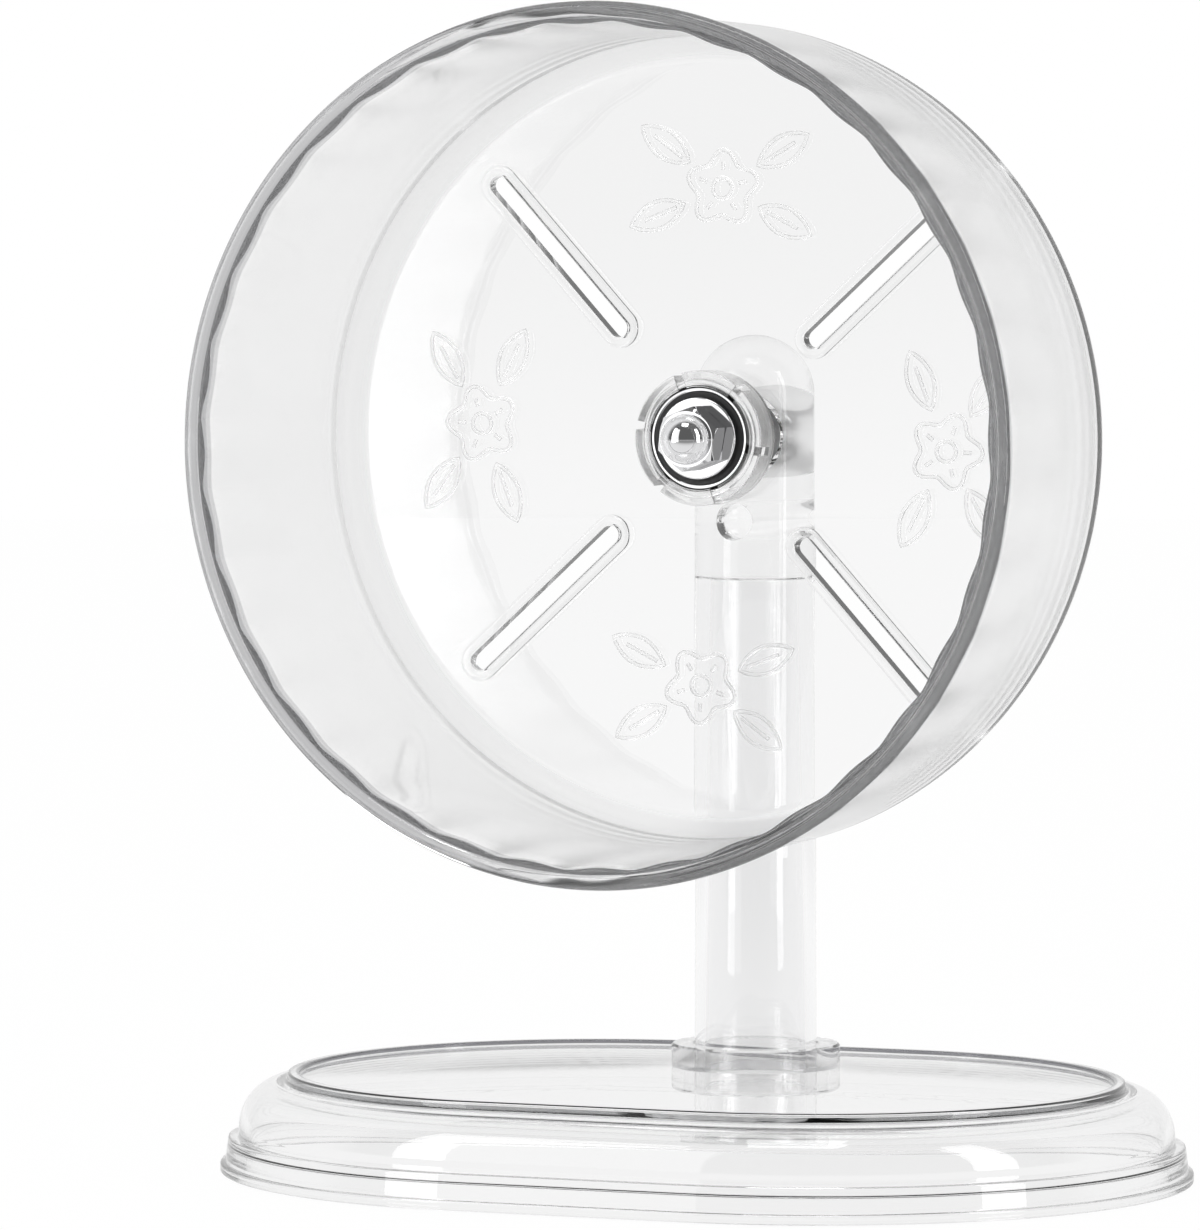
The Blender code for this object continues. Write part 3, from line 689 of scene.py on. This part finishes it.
# %% The raised flowers
PETALS, PETAL_RADIUS, PETAL_WAVE = 5, 8.0, 0.17
EYE_RADIUS = 2.5
RAY_PLACES = (4.4, 5.4, 6.4)
LEAF_TILTS = (math.radians(33), math.radians(-24))
LEAF_START, LEAF_LENGTH, LEAF_HALF = 10.8, 15, 3.3
for number in range(SLOTS):
    turn = math.radians(SLOT_TURN + (number + 0.5) * 360 / SLOTS)
    draw_line(turn, petals(80, PETAL_RADIUS, PETAL_WAVE, PETALS), True)
    draw_line(turn, petals(28, EYE_RADIUS, 0, 1), True)
    for ray in range(PETALS):
        lean = math.tau * ray / PETALS
        ray_line = [(reach * math.sin(lean), reach * math.cos(lean)) for reach in RAY_PLACES]
        draw_line(turn, ray_line, False)
    for side in (1, -1):
        for tilt in LEAF_TILTS:
            outline, rib = leaf(side, tilt, LEAF_START, LEAF_LENGTH, LEAF_HALF)
            draw_line(turn, outline, True)
            draw_line(turn, rib, False)
drawing = add_object("raised_flowers", raised)
graph = bpy.context.evaluated_depsgraph_get()
lines_mesh = bpy.data.meshes.new_from_object(drawing.evaluated_get(graph))
bpy.data.objects.remove(drawing)
lines = bmesh.new()
lines.from_mesh(lines_mesh)
bpy.data.meshes.remove(lines_mesh)
for vert in lines.verts:
    vert.co.y = LINE_PLACE * MM + (vert.co.y - LINE_PLACE * MM) * LINE_PRESS
line_frost = make_clear_plastic("line_frost", (1.0, 1.0, 1.0), 4, 0.1, 0.3, 400, 0.05)
finish_piece("flower_lines", lines, line_frost, "wheel", None, sharp=60)

# %% [markdown]
# ## The bearing's retainer
# A clear snap ring slips over the hub and its lip keeps the bearing in. Six slits let its fingers
# spring. It is turned, slit with one Boolean, and its front edge is rounded by the profile.

# %% The retainer
RETAINER_RADIUS, RETAINER_BORE, LIP_BORE = 16.5, 14.7, 12.6
RETAINER_EDGE, LIP_DEPTH = 0.45, 0.6
SLITS, SLIT_TURN, SLIT_RADIUS = 6, 11, 14.5
SLIT_LENGTH, SLIT_DEPTH, SLIT_WIDTH = 6.0, 6.0, 2.2
RETAINER_FRONT, RETAINER_BACK = along_axle("bearing_retainer")
ring = [(LIP_BORE, RETAINER_FRONT + 0.2), (LIP_BORE + 0.2, RETAINER_FRONT)]
ring += round_corner((RETAINER_RADIUS - RETAINER_EDGE, RETAINER_FRONT + RETAINER_EDGE),
                     RETAINER_EDGE, -90, 0, 5)
ring += [(RETAINER_RADIUS, RETAINER_BACK), (RETAINER_BORE, RETAINER_BACK)]
ring += [(RETAINER_BORE, RETAINER_FRONT + LIP_DEPTH), (LIP_BORE, RETAINER_FRONT + LIP_DEPTH)]
ring_mesh = bmesh.new()
turn_on_axle(ring_mesh, ring, 144, closed=True)
slits = bmesh.new()
slit_size = Matrix.Diagonal((SLIT_LENGTH * MM, SLIT_DEPTH * MM, SLIT_WIDTH * MM, 1))
slit_depth = BACK * (RETAINER_FRONT + SLIT_DEPTH / 2) * MM
for number in range(SLITS):
    angle = math.radians(SLIT_TURN + 360 / SLITS * number)
    out = Vector((math.cos(angle), 0, -math.sin(angle)))
    place = Matrix.Translation(AXLE + out * SLIT_RADIUS * MM + slit_depth)
    turned = place @ Matrix.Rotation(angle, 4, BACK)
    bmesh.ops.create_cube(slits, size=1.0, matrix=turned @ slit_size)
retainer = combine(solid_from(ring_mesh), solid_from(slits), "DIFFERENCE")
finish_mesh("retainer_ring", take_mesh(retainer), ring_clear, "wheel", "bearing_retainer")

# %% [markdown]
# ## The bearing's faces
# Only the front and back of the bearing can be seen: two bright rings with a black seal between
# them. Both rings are turned, with small rounds at their edges and the groove that the balls run
# in. The edge of the outer ring lies in the shadow of the retainer's lip, so it is tinted dark.
# The seal has the low ridge that rubber seals have.

# %% The races
BEARING_MIDDLE = (BEARING_FRONT + BEARING_BACK) / 2
GROOVE_RADIUS, BALL_CIRCLE = 2.53, 9.15
AXLE_HOLE, INNER_RACE = 5.0, 7.3
OUTER_RACE, SEAL_SEAT, RACE_RADIUS = 11.0, 11.8, 13.0
SEAT_DEPTH, RACE_EDGE = 0.9, 0.4
SHADOW, SHADOW_START = (0.01, 0.01, 0.01), (-0.8, -0.7)


def race_groove(side, shoulder):
    reach = math.degrees(math.acos((shoulder - BALL_CIRCLE) / (side * GROOVE_RADIUS)))
    ends = (reach, -reach) if side > 0 else (180 + reach, 180 - reach)
    return round_corner((BALL_CIRCLE, BEARING_MIDDLE), GROOVE_RADIUS, *ends, 10)


outer_race = [(SEAL_SEAT, BEARING_FRONT)]
outer_race += round_rim(RACE_RADIUS, BEARING_FRONT, BEARING_BACK, RACE_EDGE)
outer_race += [(SEAL_SEAT, BEARING_BACK), (SEAL_SEAT, BEARING_BACK - SEAT_DEPTH)]
outer_race += [(OUTER_RACE, BEARING_BACK - SEAT_DEPTH)]
outer_race += race_groove(1, OUTER_RACE)
outer_race += [(OUTER_RACE, BEARING_FRONT + SEAT_DEPTH), (SEAL_SEAT, BEARING_FRONT + SEAT_DEPTH)]
finish_ring("outer_race_ring", outer_race, 132, race_plate, "wheel", "bearing_outer_race")
painted_dark_edge = share_past(race_plate, distance_in(race_plate), RACE_RADIUS, SHADOW_START)
paint_shade_where(race_plate, painted_dark_edge, SHADOW)

inner_race = [(AXLE_HOLE, BEARING_BACK), (AXLE_HOLE, BEARING_FRONT)]
inner_race += [(INNER_RACE - SMALL_EDGE, BEARING_FRONT), (INNER_RACE, BEARING_FRONT + SMALL_EDGE)]
inner_race += race_groove(-1, INNER_RACE)
inner_race += [(INNER_RACE, BEARING_BACK - SMALL_EDGE), (INNER_RACE - SMALL_EDGE, BEARING_BACK)]
finish_ring("inner_race_ring", inner_race, 96, plated, "stand", "bearing_inner_race")

# %% The seals
SEAL_SINK = 0.2
for name, node, face, side in (
        ("front_seal", "bearing_seal_front", BEARING_FRONT + SEAL_SINK, 1),
        ("rear_seal", "bearing_seal_rear", BEARING_BACK - SEAL_SINK, -1)):
    under, ridge = face + 0.5 * side, face + 0.15 * side
    seal = [(7.65, under), (7.65, ridge), (7.8, face), (9.6, face), (9.9, ridge), (10.3, ridge)]
    seal += [(10.6, face), (11.4, face), (11.6, face + 0.2 * side), (11.6, under)]
    finish_ring(name, seal, 96, rubber, "wheel", node)

# %% [markdown]
# ## The nut
# The dome nut is a hexagon with a polished dome. Real ones are turned after the hexagon is made,
# so the corners of the flats are cut back by a shallow cone. A hexagon is extruded, a turned blank
# cuts its corners, a dome joins it and the thread's hole is cut from behind.

# %% The dome nut
DOME_RADIUS, NUT_FLATS = 6.25, 14.0
NUT_SPIN = math.radians(10)
THREAD_DEPTH = 9.0
NUT_FRONT, NUT_BACK = along_axle("dome_nut")
HEX_FRONT = NUT_FRONT + DOME_RADIUS
hexagon = bmesh.new()
corner_radius = NUT_FLATS / math.sqrt(3) * MM
middle = Matrix.Translation(AXLE + BACK * (NUT_BACK + HEX_FRONT) / 2 * MM)
spun = Matrix.Rotation(NUT_SPIN, 4, BACK)
lying = Matrix.Rotation(math.radians(-90), 4, "X")
bmesh.ops.create_cone(hexagon, cap_ends=True, segments=6, radius1=corner_radius,
                      radius2=corner_radius, depth=(NUT_BACK - HEX_FRONT) * MM,
                      matrix=middle @ spun @ lying)
blank = [(0, NUT_BACK + 1), (7.1, NUT_BACK + 1), (7.1, NUT_BACK + 0.05), (8.15, NUT_BACK - 0.6)]
blank += [(8.15, HEX_FRONT + 0.9), (6.75, HEX_FRONT - 0.05), (6.5, HEX_FRONT - 1)]
blank += [(0, HEX_FRONT - 1)]
nut = combine(solid_from(hexagon), turned_solid(blank, 96), "INTERSECT")
dome = [(0, HEX_FRONT + 2), (DOME_RADIUS, HEX_FRONT + 2)]
dome += round_corner((0, HEX_FRONT), DOME_RADIUS, 0, -90, 28)
nut = combine(nut, turned_solid(dome, 96), "UNION")
thread_end, past_back = NUT_BACK - THREAD_DEPTH, NUT_BACK + 1
thread = [(0, thread_end), (AXLE_HOLE, thread_end), (AXLE_HOLE, past_back), (0, past_back)]
nut = combine(nut, turned_solid(thread, 60), "DIFFERENCE")
finish_mesh("dome_nut_plated", take_mesh(nut), plated, "stand", "dome_nut",
            sharp=25)

# %% [markdown]
# Three plain rings sit on the axle with the nut: the washer in front of the bearing, the spacer
# behind it, and the bush in the post's head. Each is one turned profile with its edges broken.

# %% The washer, the spacer and the bush
WASHER_RADIUS, SPACER_RADIUS, BUSH_RADIUS = 10.0, 7.0, 10.8
BUSH_EDGE = 0.5
WASHER_FRONT, WASHER_BACK = along_axle("nut_washer")
BUSH_FRONT, BUSH_BACK = along_axle("axle_bush")
washer = [(AXLE_HOLE, WASHER_BACK), (AXLE_HOLE, WASHER_FRONT)]
washer += round_rim(WASHER_RADIUS, WASHER_FRONT, WASHER_BACK, RACE_EDGE)
finish_ring("washer_plated", washer, 132, plated, "stand", "nut_washer")

spacer_back = BUSH_FRONT - FIT_GAP
spacer = [(AXLE_HOLE, SEAT_BACK), (SPACER_RADIUS - SMALL_EDGE, SEAT_BACK)]
spacer += [(SPACER_RADIUS, SEAT_BACK + SMALL_EDGE), (SPACER_RADIUS, spacer_back - SMALL_EDGE)]
spacer += [(SPACER_RADIUS - SMALL_EDGE, spacer_back), (AXLE_HOLE, spacer_back)]
finish_ring("spacer_sleeve", spacer, 60, ground, "stand", "axle_spacer")

bush = [(AXLE_HOLE, BUSH_FRONT), (BUSH_RADIUS - BUSH_EDGE, BUSH_FRONT)]
bush += [(BUSH_RADIUS, BUSH_FRONT + BUSH_EDGE), (BUSH_RADIUS, BUSH_BACK - BUSH_EDGE)]
bush += [(BUSH_RADIUS - BUSH_EDGE, BUSH_BACK), (AXLE_HOLE, BUSH_BACK)]
finish_ring("bush_barrel", bush, 96, satin, "stand", "axle_bush")

# %% [markdown]
# ## The post
# The post is one thick moulding: hollow from below, solid and domed at the top, with a seat for the
# bush and a hole right through below it. It is turned in one profile, and the seat and the hole are
# cut with Booleans. The seat is a hair smaller than the bush, because light would turn back at a
# thin gap of air and hide the metal. The hollow part gets a little painted shade, as it looks
# greyer where four skins are seen one behind the other.

# %% The post
POST_FOOT, POST_HEAD = 15.2, 14.8
HOLLOW_RADIUS, HOLLOW_FOOT, HOLLOW_ROUND = 10.6, 12.8, 0.8
HOLLOW_TOP = AXLE.z / MM - 35.3
HOLLOW_SHADE_PAINT, HOLLOW_FADE = (0.965, 0.965, 0.967), (-2, 1)
SEAT_BITE, SEAT_REACH = 0.05, 20
HOLE_RADIUS, HOLE_DROP, HOLE_LENGTH = 4.7, 21.2, 40
post_low, post_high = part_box("post")
POST_LINE = Vector((0, (post_low.y + post_high.y) / 2, 0))
HEAD_TOP, POST_BOTTOM = post_high.z / MM, post_low.z / MM
COLLAR_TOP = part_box("base")[1].z / MM


def turn_on_post(bm, profile, steps):
    points = [POST_LINE + Vector((radius * MM, 0, up * MM)) for radius, up in profile]
    turn_profile(bm, points, UP, POST_LINE, steps)


post_line = [(0, HOLLOW_TOP)]
post_line += round_corner((HOLLOW_RADIUS - HOLLOW_ROUND, HOLLOW_TOP - HOLLOW_ROUND), HOLLOW_ROUND,
                          90, 10, 6)
post_line += [(HOLLOW_FOOT, POST_BOTTOM), (POST_FOOT, POST_BOTTOM), (POST_FOOT, COLLAR_TOP)]
post_line += round_corner((0, HEAD_TOP - POST_HEAD), POST_HEAD, 0, 90, 28)
bm = bmesh.new()
turn_on_post(bm, post_line, 144)
seat_front, seat_back = POST_LINE.y / MM - SEAT_REACH, BUSH_BACK - SEAT_BITE
seat_radius = BUSH_RADIUS - SEAT_BITE
seat = [(0, seat_front), (seat_radius, seat_front), (seat_radius, seat_back), (0, seat_back)]
post = combine(solid_from(bm), turned_solid(seat, 96), "DIFFERENCE")
hole = bmesh.new()
hole_place = Matrix.Translation(POST_LINE + UP * (AXLE.z - HOLE_DROP * MM))
bmesh.ops.create_cone(hole, cap_ends=True, segments=64, radius1=HOLE_RADIUS * MM,
                      radius2=HOLE_RADIUS * MM, depth=HOLE_LENGTH * MM,
                      matrix=hole_place @ Matrix.Rotation(math.radians(90), 4, "X"))
post = combine(post, solid_from(hole), "DIFFERENCE")
finish_mesh("post_moulding", take_mesh(post), post_clear, "stand", "post")
in_hollow = share_past(post_clear, place_in(post_clear, "Z"), HOLLOW_TOP, HOLLOW_FADE, 1.0, 0.0)
# Painted shade: the hollow part's colour is darkened a little.
paint_shade_where(post_clear, in_hollow, HOLLOW_SHADE_PAINT)

# %% [markdown]
# ## The base
# The base is a shell, open below: a lip, a leaning band, a ledge, a rounded shoulder, a narrow rim
# and a recessed deck with a collar for the post. The outside and the inside are one profile swept
# round the oval. The collar and the socket under it are turned, and the flat deck closes the skin
# above and below.

# %% The base
BASE_HALF, HALF_STRAIGHT = 92.75, 28.5
DECK = COLLAR_TOP - 5.75
RIM_TOP, UNDER_DECK = DECK + 1.2, DECK - 2.4
RIM_INSIDE, RIM_OUTSIDE = 19.6, 16.6
SHOULDER_IN, SHOULDER_UP = 14.6, 10.6
SHOULDER_WIDTH, SHOULDER_HEIGHT = 10.0, 11.5
SHOULDER_TOP = SHOULDER_UP + SHOULDER_HEIGHT
SHELL_WALL = 2.4
COLLAR_RADIUS, COLLAR_EDGE, COLLAR_BORE = 21.0, 0.5, 15.4
SOCKET_RADIUS, SOCKET_DROP = 18.2, 2.8


def shoulder_point(angle, wall):
    """A point of the shoulder's quarter oval, at a depth below the outside."""
    turn = math.radians(angle)
    return (SHOULDER_IN - (SHOULDER_WIDTH - wall) * math.sin(turn),
            SHOULDER_UP + (SHOULDER_HEIGHT - wall) * math.cos(turn))


def base_profile():
    """(inset, height) from the deck's edge outwards and down, then up the inside of the shell."""
    line = [(RIM_INSIDE, DECK)]
    line += round_corner((RIM_INSIDE - 0.6, RIM_TOP - 0.6), 0.6, 0, 90, 5)
    line += round_corner((RIM_OUTSIDE + 0.7, RIM_TOP - 0.7), 0.7, 90, 180, 5)
    line += [(RIM_OUTSIDE, SHOULDER_TOP + 0.7), (RIM_OUTSIDE - 0.25, SHOULDER_TOP + 0.25),
             (RIM_OUTSIDE - 0.7, SHOULDER_TOP + 0.05)]
    line += [shoulder_point(angle, 0) for angle in range(0, 91, 6)]
    line += [(4.6, 9.0), (4.4, 8.6), (2.5, 8.6)]
    line += [(2.1, 8.45), (1.95, 8.1), (1.35, 2.9), (1.2, 2.5), (0.9, 2.4)]
    line += round_corner((0.6, 1.8), 0.6, 90, 180, 4)
    line += round_corner((0.5, 0.5), 0.5, 180, 270, 4)
    line += [(4.4, 0), (4.4, 5.6)]
    line += round_corner((4.8, 5.6), 0.4, 180, 90, 4)[1:]
    line += round_corner((6.6, 6.4), 0.4, -90, 0, 4)
    line += [shoulder_point(angle, SHELL_WALL) for angle in range(90, -1, -6)]
    line += [(RIM_OUTSIDE, UNDER_DECK)]
    return [((BASE_HALF - inset) * MM, height * MM) for inset, height in line]


shell = bmesh.new()
sweep_track(shell, base_profile(), Vector((0, 0, 0)), Vector((1, 0, 0)), UP, HALF_STRAIGHT * MM, 96)
post_seat, socket_floor = POST_BOTTOM - FIT_GAP, POST_BOTTOM - SOCKET_DROP
collar = [(COLLAR_RADIUS, DECK), (COLLAR_RADIUS, COLLAR_TOP - COLLAR_EDGE)]
collar += [(COLLAR_RADIUS - COLLAR_EDGE, COLLAR_TOP), (COLLAR_BORE + SMALL_EDGE, COLLAR_TOP)]
collar += [(COLLAR_BORE, COLLAR_TOP - SMALL_EDGE), (COLLAR_BORE, post_seat), (0, post_seat)]
socket = [(0, socket_floor), (SOCKET_RADIUS, socket_floor), (SOCKET_RADIUS, UNDER_DECK)]
for line in (collar, socket):
    turn_on_post(shell, line, 96)
print("deck", fill_plane(shell, UP, DECK * MM), "under", fill_plane(shell, UP, UNDER_DECK * MM))
finish_piece("base_shell", shell, base_clear, "stand", "base")

# %% [markdown]
# The inner edge of the rim shows as a dark line round the deck, and that line is painted shade in
# the colour. It lies at one distance from the oval's middle line, so that distance is worked out
# from the place: what goes past the straight run along the oval, and the whole way across it.

# %% The base's painted dark edge
EDGE_SHADE_PAINT = (0.08, 0.08, 0.09)
EDGE_FOOT, EDGE_START, EDGE_END = (0.1, 0.3), (-3, -1), (0.7, 1.1)
INNER_EDGE = BASE_HALF - RIM_INSIDE
tree = base_clear.node_tree
from_middle = add_vector(tree, "ABSOLUTE", object_place(tree))
past_straight = add_vector(tree, "SUBTRACT", from_middle, (HALF_STRAIGHT * MM, 0, 0))
in_turn = add_vector(tree, "MAXIMUM", past_straight, (0, 0, 0))
out = add_vector(tree, "LENGTH", add_vector(tree, "MULTIPLY", in_turn, (1, 1, 0)))
over_deck = share_past(base_clear, place_in(base_clear, "Z"), DECK, EDGE_FOOT)
before_end = share_past(base_clear, out, INNER_EDGE, EDGE_END, 1.0, 0.0)
after_start = share_past(base_clear, out, INNER_EDGE, EDGE_START)
painted_dark_edge = overlap(base_clear, over_deck, overlap(base_clear, before_end, after_start))
# Painted shade: a dark line is painted round the inner edge of the rim.
paint_shade_where(base_clear, painted_dark_edge, EDGE_SHADE_PAINT)
print(f"rim darkened {INNER_EDGE:.2f} mm from the middle line")

# %% [markdown]
# ## Pieces that stay as solids
# The balls, the cage and the axle are shut inside, so their solids stay and only get finishes.

# %% Finishes for the inner pieces
for name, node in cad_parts.items():
    if name.startswith("bearing_ball") or name == "axle":
        finish = ground
    elif name == "bearing_cage":
        finish = nylon
    else:
        continue
    for slot in node.material_slots:
        slot.material = finish
print("inner pieces finished")

# %% [markdown]
# ## Floor
# Clear plastic only shows its shape if something dark bends into its edges while what lies behind
# it stays pale. The floor is a wide sheet of paper. Seen straight on it is white, and seen through
# the plastic it is pale. Only where light has been turned back by a surface does it fall off
# towards the front, from white to dark grey. The little that is left to the plain shader takes
# the shadow.

# %% The floor
FLOOR_RADIUS, FLOOR_DROP = 4.0, 0.0005
PALE = 0.935
PAPER_SHARE = 0.98
TURNED_BACK = 0.5
VIEW_FROM = Vector((0.374, -0.927, 0.0))
FLOOR_REACH = 2.0
FLOOR_TONES = ((0.15, PALE), (0.3, 1.0), (0.48, 0.93), (0.56, 0.85), (0.72, 0.3))
bm = bmesh.new()
bmesh.ops.create_circle(bm, cap_ends=True, radius=FLOOR_RADIUS, segments=128)
mesh = bpy.data.meshes.new("floor")
bm.to_mesh(mesh)
bm.free()
floor = add_object("floor", mesh)
floor.location.z = -FLOOR_DROP

material, tree, surface = start_material("pale_floor", (0.8, 0.8, 0.8))
surface["Roughness"].default_value = 0.8
forward = add_vector(tree, "DOT_PRODUCT", object_place(tree), VIEW_FROM)
sweep = tree.nodes.new("ShaderNodeValToRGB")
tree.links.new(map_range(tree, forward, -FLOOR_REACH, FLOOR_REACH), sweep.inputs["Fac"])
ramp = sweep.color_ramp
ramp.interpolation = "EASE"
ramp.elements.remove(ramp.elements[1])
ramp.elements[0].position = FLOOR_TONES[0][0]
ramp.elements[0].color = grey(FLOOR_TONES[0][1])
for place, tone in FLOOR_TONES[1:]:
    ramp.elements.new(place).color = grey(tone)
print("floor tones", [(round(element.position, 2), round(element.color[0], 3))
                      for element in ramp.elements])

# %% The floor as paper
path = add_node(tree, "LightPath")
seen = add_math(tree, "MAXIMUM", path["Is Camera Ray"], path["Is Transmission Ray"])
seen = add_math(tree, "MAXIMUM", seen, path["Is Glossy Ray"])
turned_back = add_math(tree, "GREATER_THAN", path["Glossy Depth"], TURNED_BACK)
tone = mix_colours(tree, turned_back, grey(PALE), sweep.outputs["Color"])
tone = mix_colours(tree, path["Is Camera Ray"], tone, grey(1))
paper = add_node(tree, "Emission", {"Color": tone, "Strength": 1.0})["Emission"]
share = add_math(tree, "MULTIPLY", seen, PAPER_SHARE)
plain = tree.nodes["Principled BSDF"].outputs["BSDF"]
both = add_node(tree, "MixShader", {"Fac": share, 1: plain, 2: paper})["Shader"]
tree.links.new(both, tree.nodes["Material Output"].inputs["Surface"])
floor.data.materials.append(material)
print("floor made")

# %% [markdown]
# ## Room
# The room is the world's colour, and it follows the same rule as the floor. It is white to the
# camera and pale through the plastic. Light that a surface has turned back sees a dark room in
# front of the object, above the floor, which draws the dark lines in the lip, the rims and the
# metal. Black cards beside the object could do the same, but they would show when the object is
# seen from another side.

# %% The room
ROOM_PALE, ROOM_DARK = 0.9, 0.12
FRONT_FROM, FRONT_TO = -0.15, 0.2
DARK_FROM, DARK_TO = -0.06, 0.0
scene.view_settings.view_transform = "Standard"
world = bpy.data.worlds.new("room")
scene.world = world
world.use_nodes = True
tree = world.node_tree
direction = add_node(tree, "TexCoord")["Generated"]
height = add_node(tree, "SeparateXYZ", {0: direction})["Z"]
facing = add_vector(tree, "DOT_PRODUCT", direction, VIEW_FROM)
front_room = map_range(tree, facing, FRONT_FROM, FRONT_TO, interpolation_type="SMOOTHSTEP")
above_floor = map_range(tree, height, DARK_FROM, DARK_TO, interpolation_type="SMOOTHSTEP")
path = add_node(tree, "LightPath")
turned_back = add_math(tree, "GREATER_THAN", path["Glossy Depth"], TURNED_BACK)
dark = add_math(tree, "MULTIPLY", add_math(tree, "MULTIPLY", front_room, above_floor), turned_back)
tone = mix_colours(tree, dark, grey(ROOM_PALE), grey(ROOM_DARK))
tone = mix_colours(tree, path["Is Camera Ray"], tone, grey(1))
tree.links.new(tone, tree.nodes["Background"].inputs["Color"])
tree.nodes["Background"].inputs["Strength"].default_value = 1.0
print("room made")

# %% [markdown]
# ## Softboxes
# Tall softboxes stand left, in front and right, and draw the long white stripes on the post and
# the shine on the metal. A flat one hangs overhead. Their brightness is given as that of the lamp's
# face, where 1 is white, so that a lamp can change its size without changing its reflection.

# %% The softboxes
def add_softbox(name, place, width, height, brightness, target):
    lamp = bpy.data.lights.new(name, "AREA")
    lamp.shape = "RECTANGLE"
    lamp.size, lamp.size_y = width, height
    lamp.energy = brightness * math.pi * width * height
    box = add_object(name, lamp)
    box.location = place
    box.rotation_mode = "QUATERNION"
    box.rotation_quaternion = (target - box.location).to_track_quat("-Z", "Y")
    box.visible_camera = False


TALL = 1.1
level_aim = Vector((0, 0.035, TALL / 2))
add_softbox("left_softbox", Vector((-0.54, -0.75, TALL / 2)), 0.28, TALL, 3.5, level_aim)
add_softbox("front_softbox", Vector((-0.326, -0.91, TALL / 2)), 0.26, TALL, 1.0, level_aim)
add_softbox("right_softbox", Vector((0.97, -0.20, TALL / 2)), 0.25, TALL, 3.5, level_aim)
add_softbox("top_softbox", Vector((0.1, -0.5, 1.6)), 0.6, 0.4, 5, AXLE)
print("softboxes made")

# %% [markdown]
# ## Camera
# The camera stands to the right, far off and just above the level of what it looks at, with a long
# lens, so that the rim is nearly a true oval. Clear plastic needs many bounces, because one look
# through the drum, the post and the bearing crosses a dozen skins.

# %% The camera
FOCUS_PIXELS, PICTURE_HEIGHT, SENSOR = 8315.7, 1230, 36
CAMERA_SIDE, CAMERA_ABOVE = math.radians(21.987), math.radians(2.978)
CAMERA_DISTANCE = 1.9606
AIM_RIGHT, AIM_DROP = 0.0034, 0.03956
CLEAR_BOUNCES = 18
lens = bpy.data.cameras.new("camera")
lens.lens = FOCUS_PIXELS / PICTURE_HEIGHT * SENSOR
lens.sensor_width = SENSOR
camera = add_object("camera", lens)
aim_at = Vector((AIM_RIGHT, RIM_FRONT * MM, AXLE.z - AIM_DROP))
out = Vector((math.sin(CAMERA_SIDE) * math.cos(CAMERA_ABOVE),
              -math.cos(CAMERA_SIDE) * math.cos(CAMERA_ABOVE), math.sin(CAMERA_ABOVE)))
camera.location = aim_at + out * CAMERA_DISTANCE
camera.rotation_mode = "QUATERNION"
camera.rotation_quaternion = (aim_at - camera.location).to_track_quat("-Z", "Y")
scene.camera = camera
scene.cycles.max_bounces = CLEAR_BOUNCES
scene.cycles.transmission_bounces = CLEAR_BOUNCES
scene.cycles.glossy_bounces = CLEAR_BOUNCES
scene.cycles.transparent_max_bounces = 16
print(f"camera {CAMERA_DISTANCE:.2f} m away, lens {lens.lens:.0f} mm")
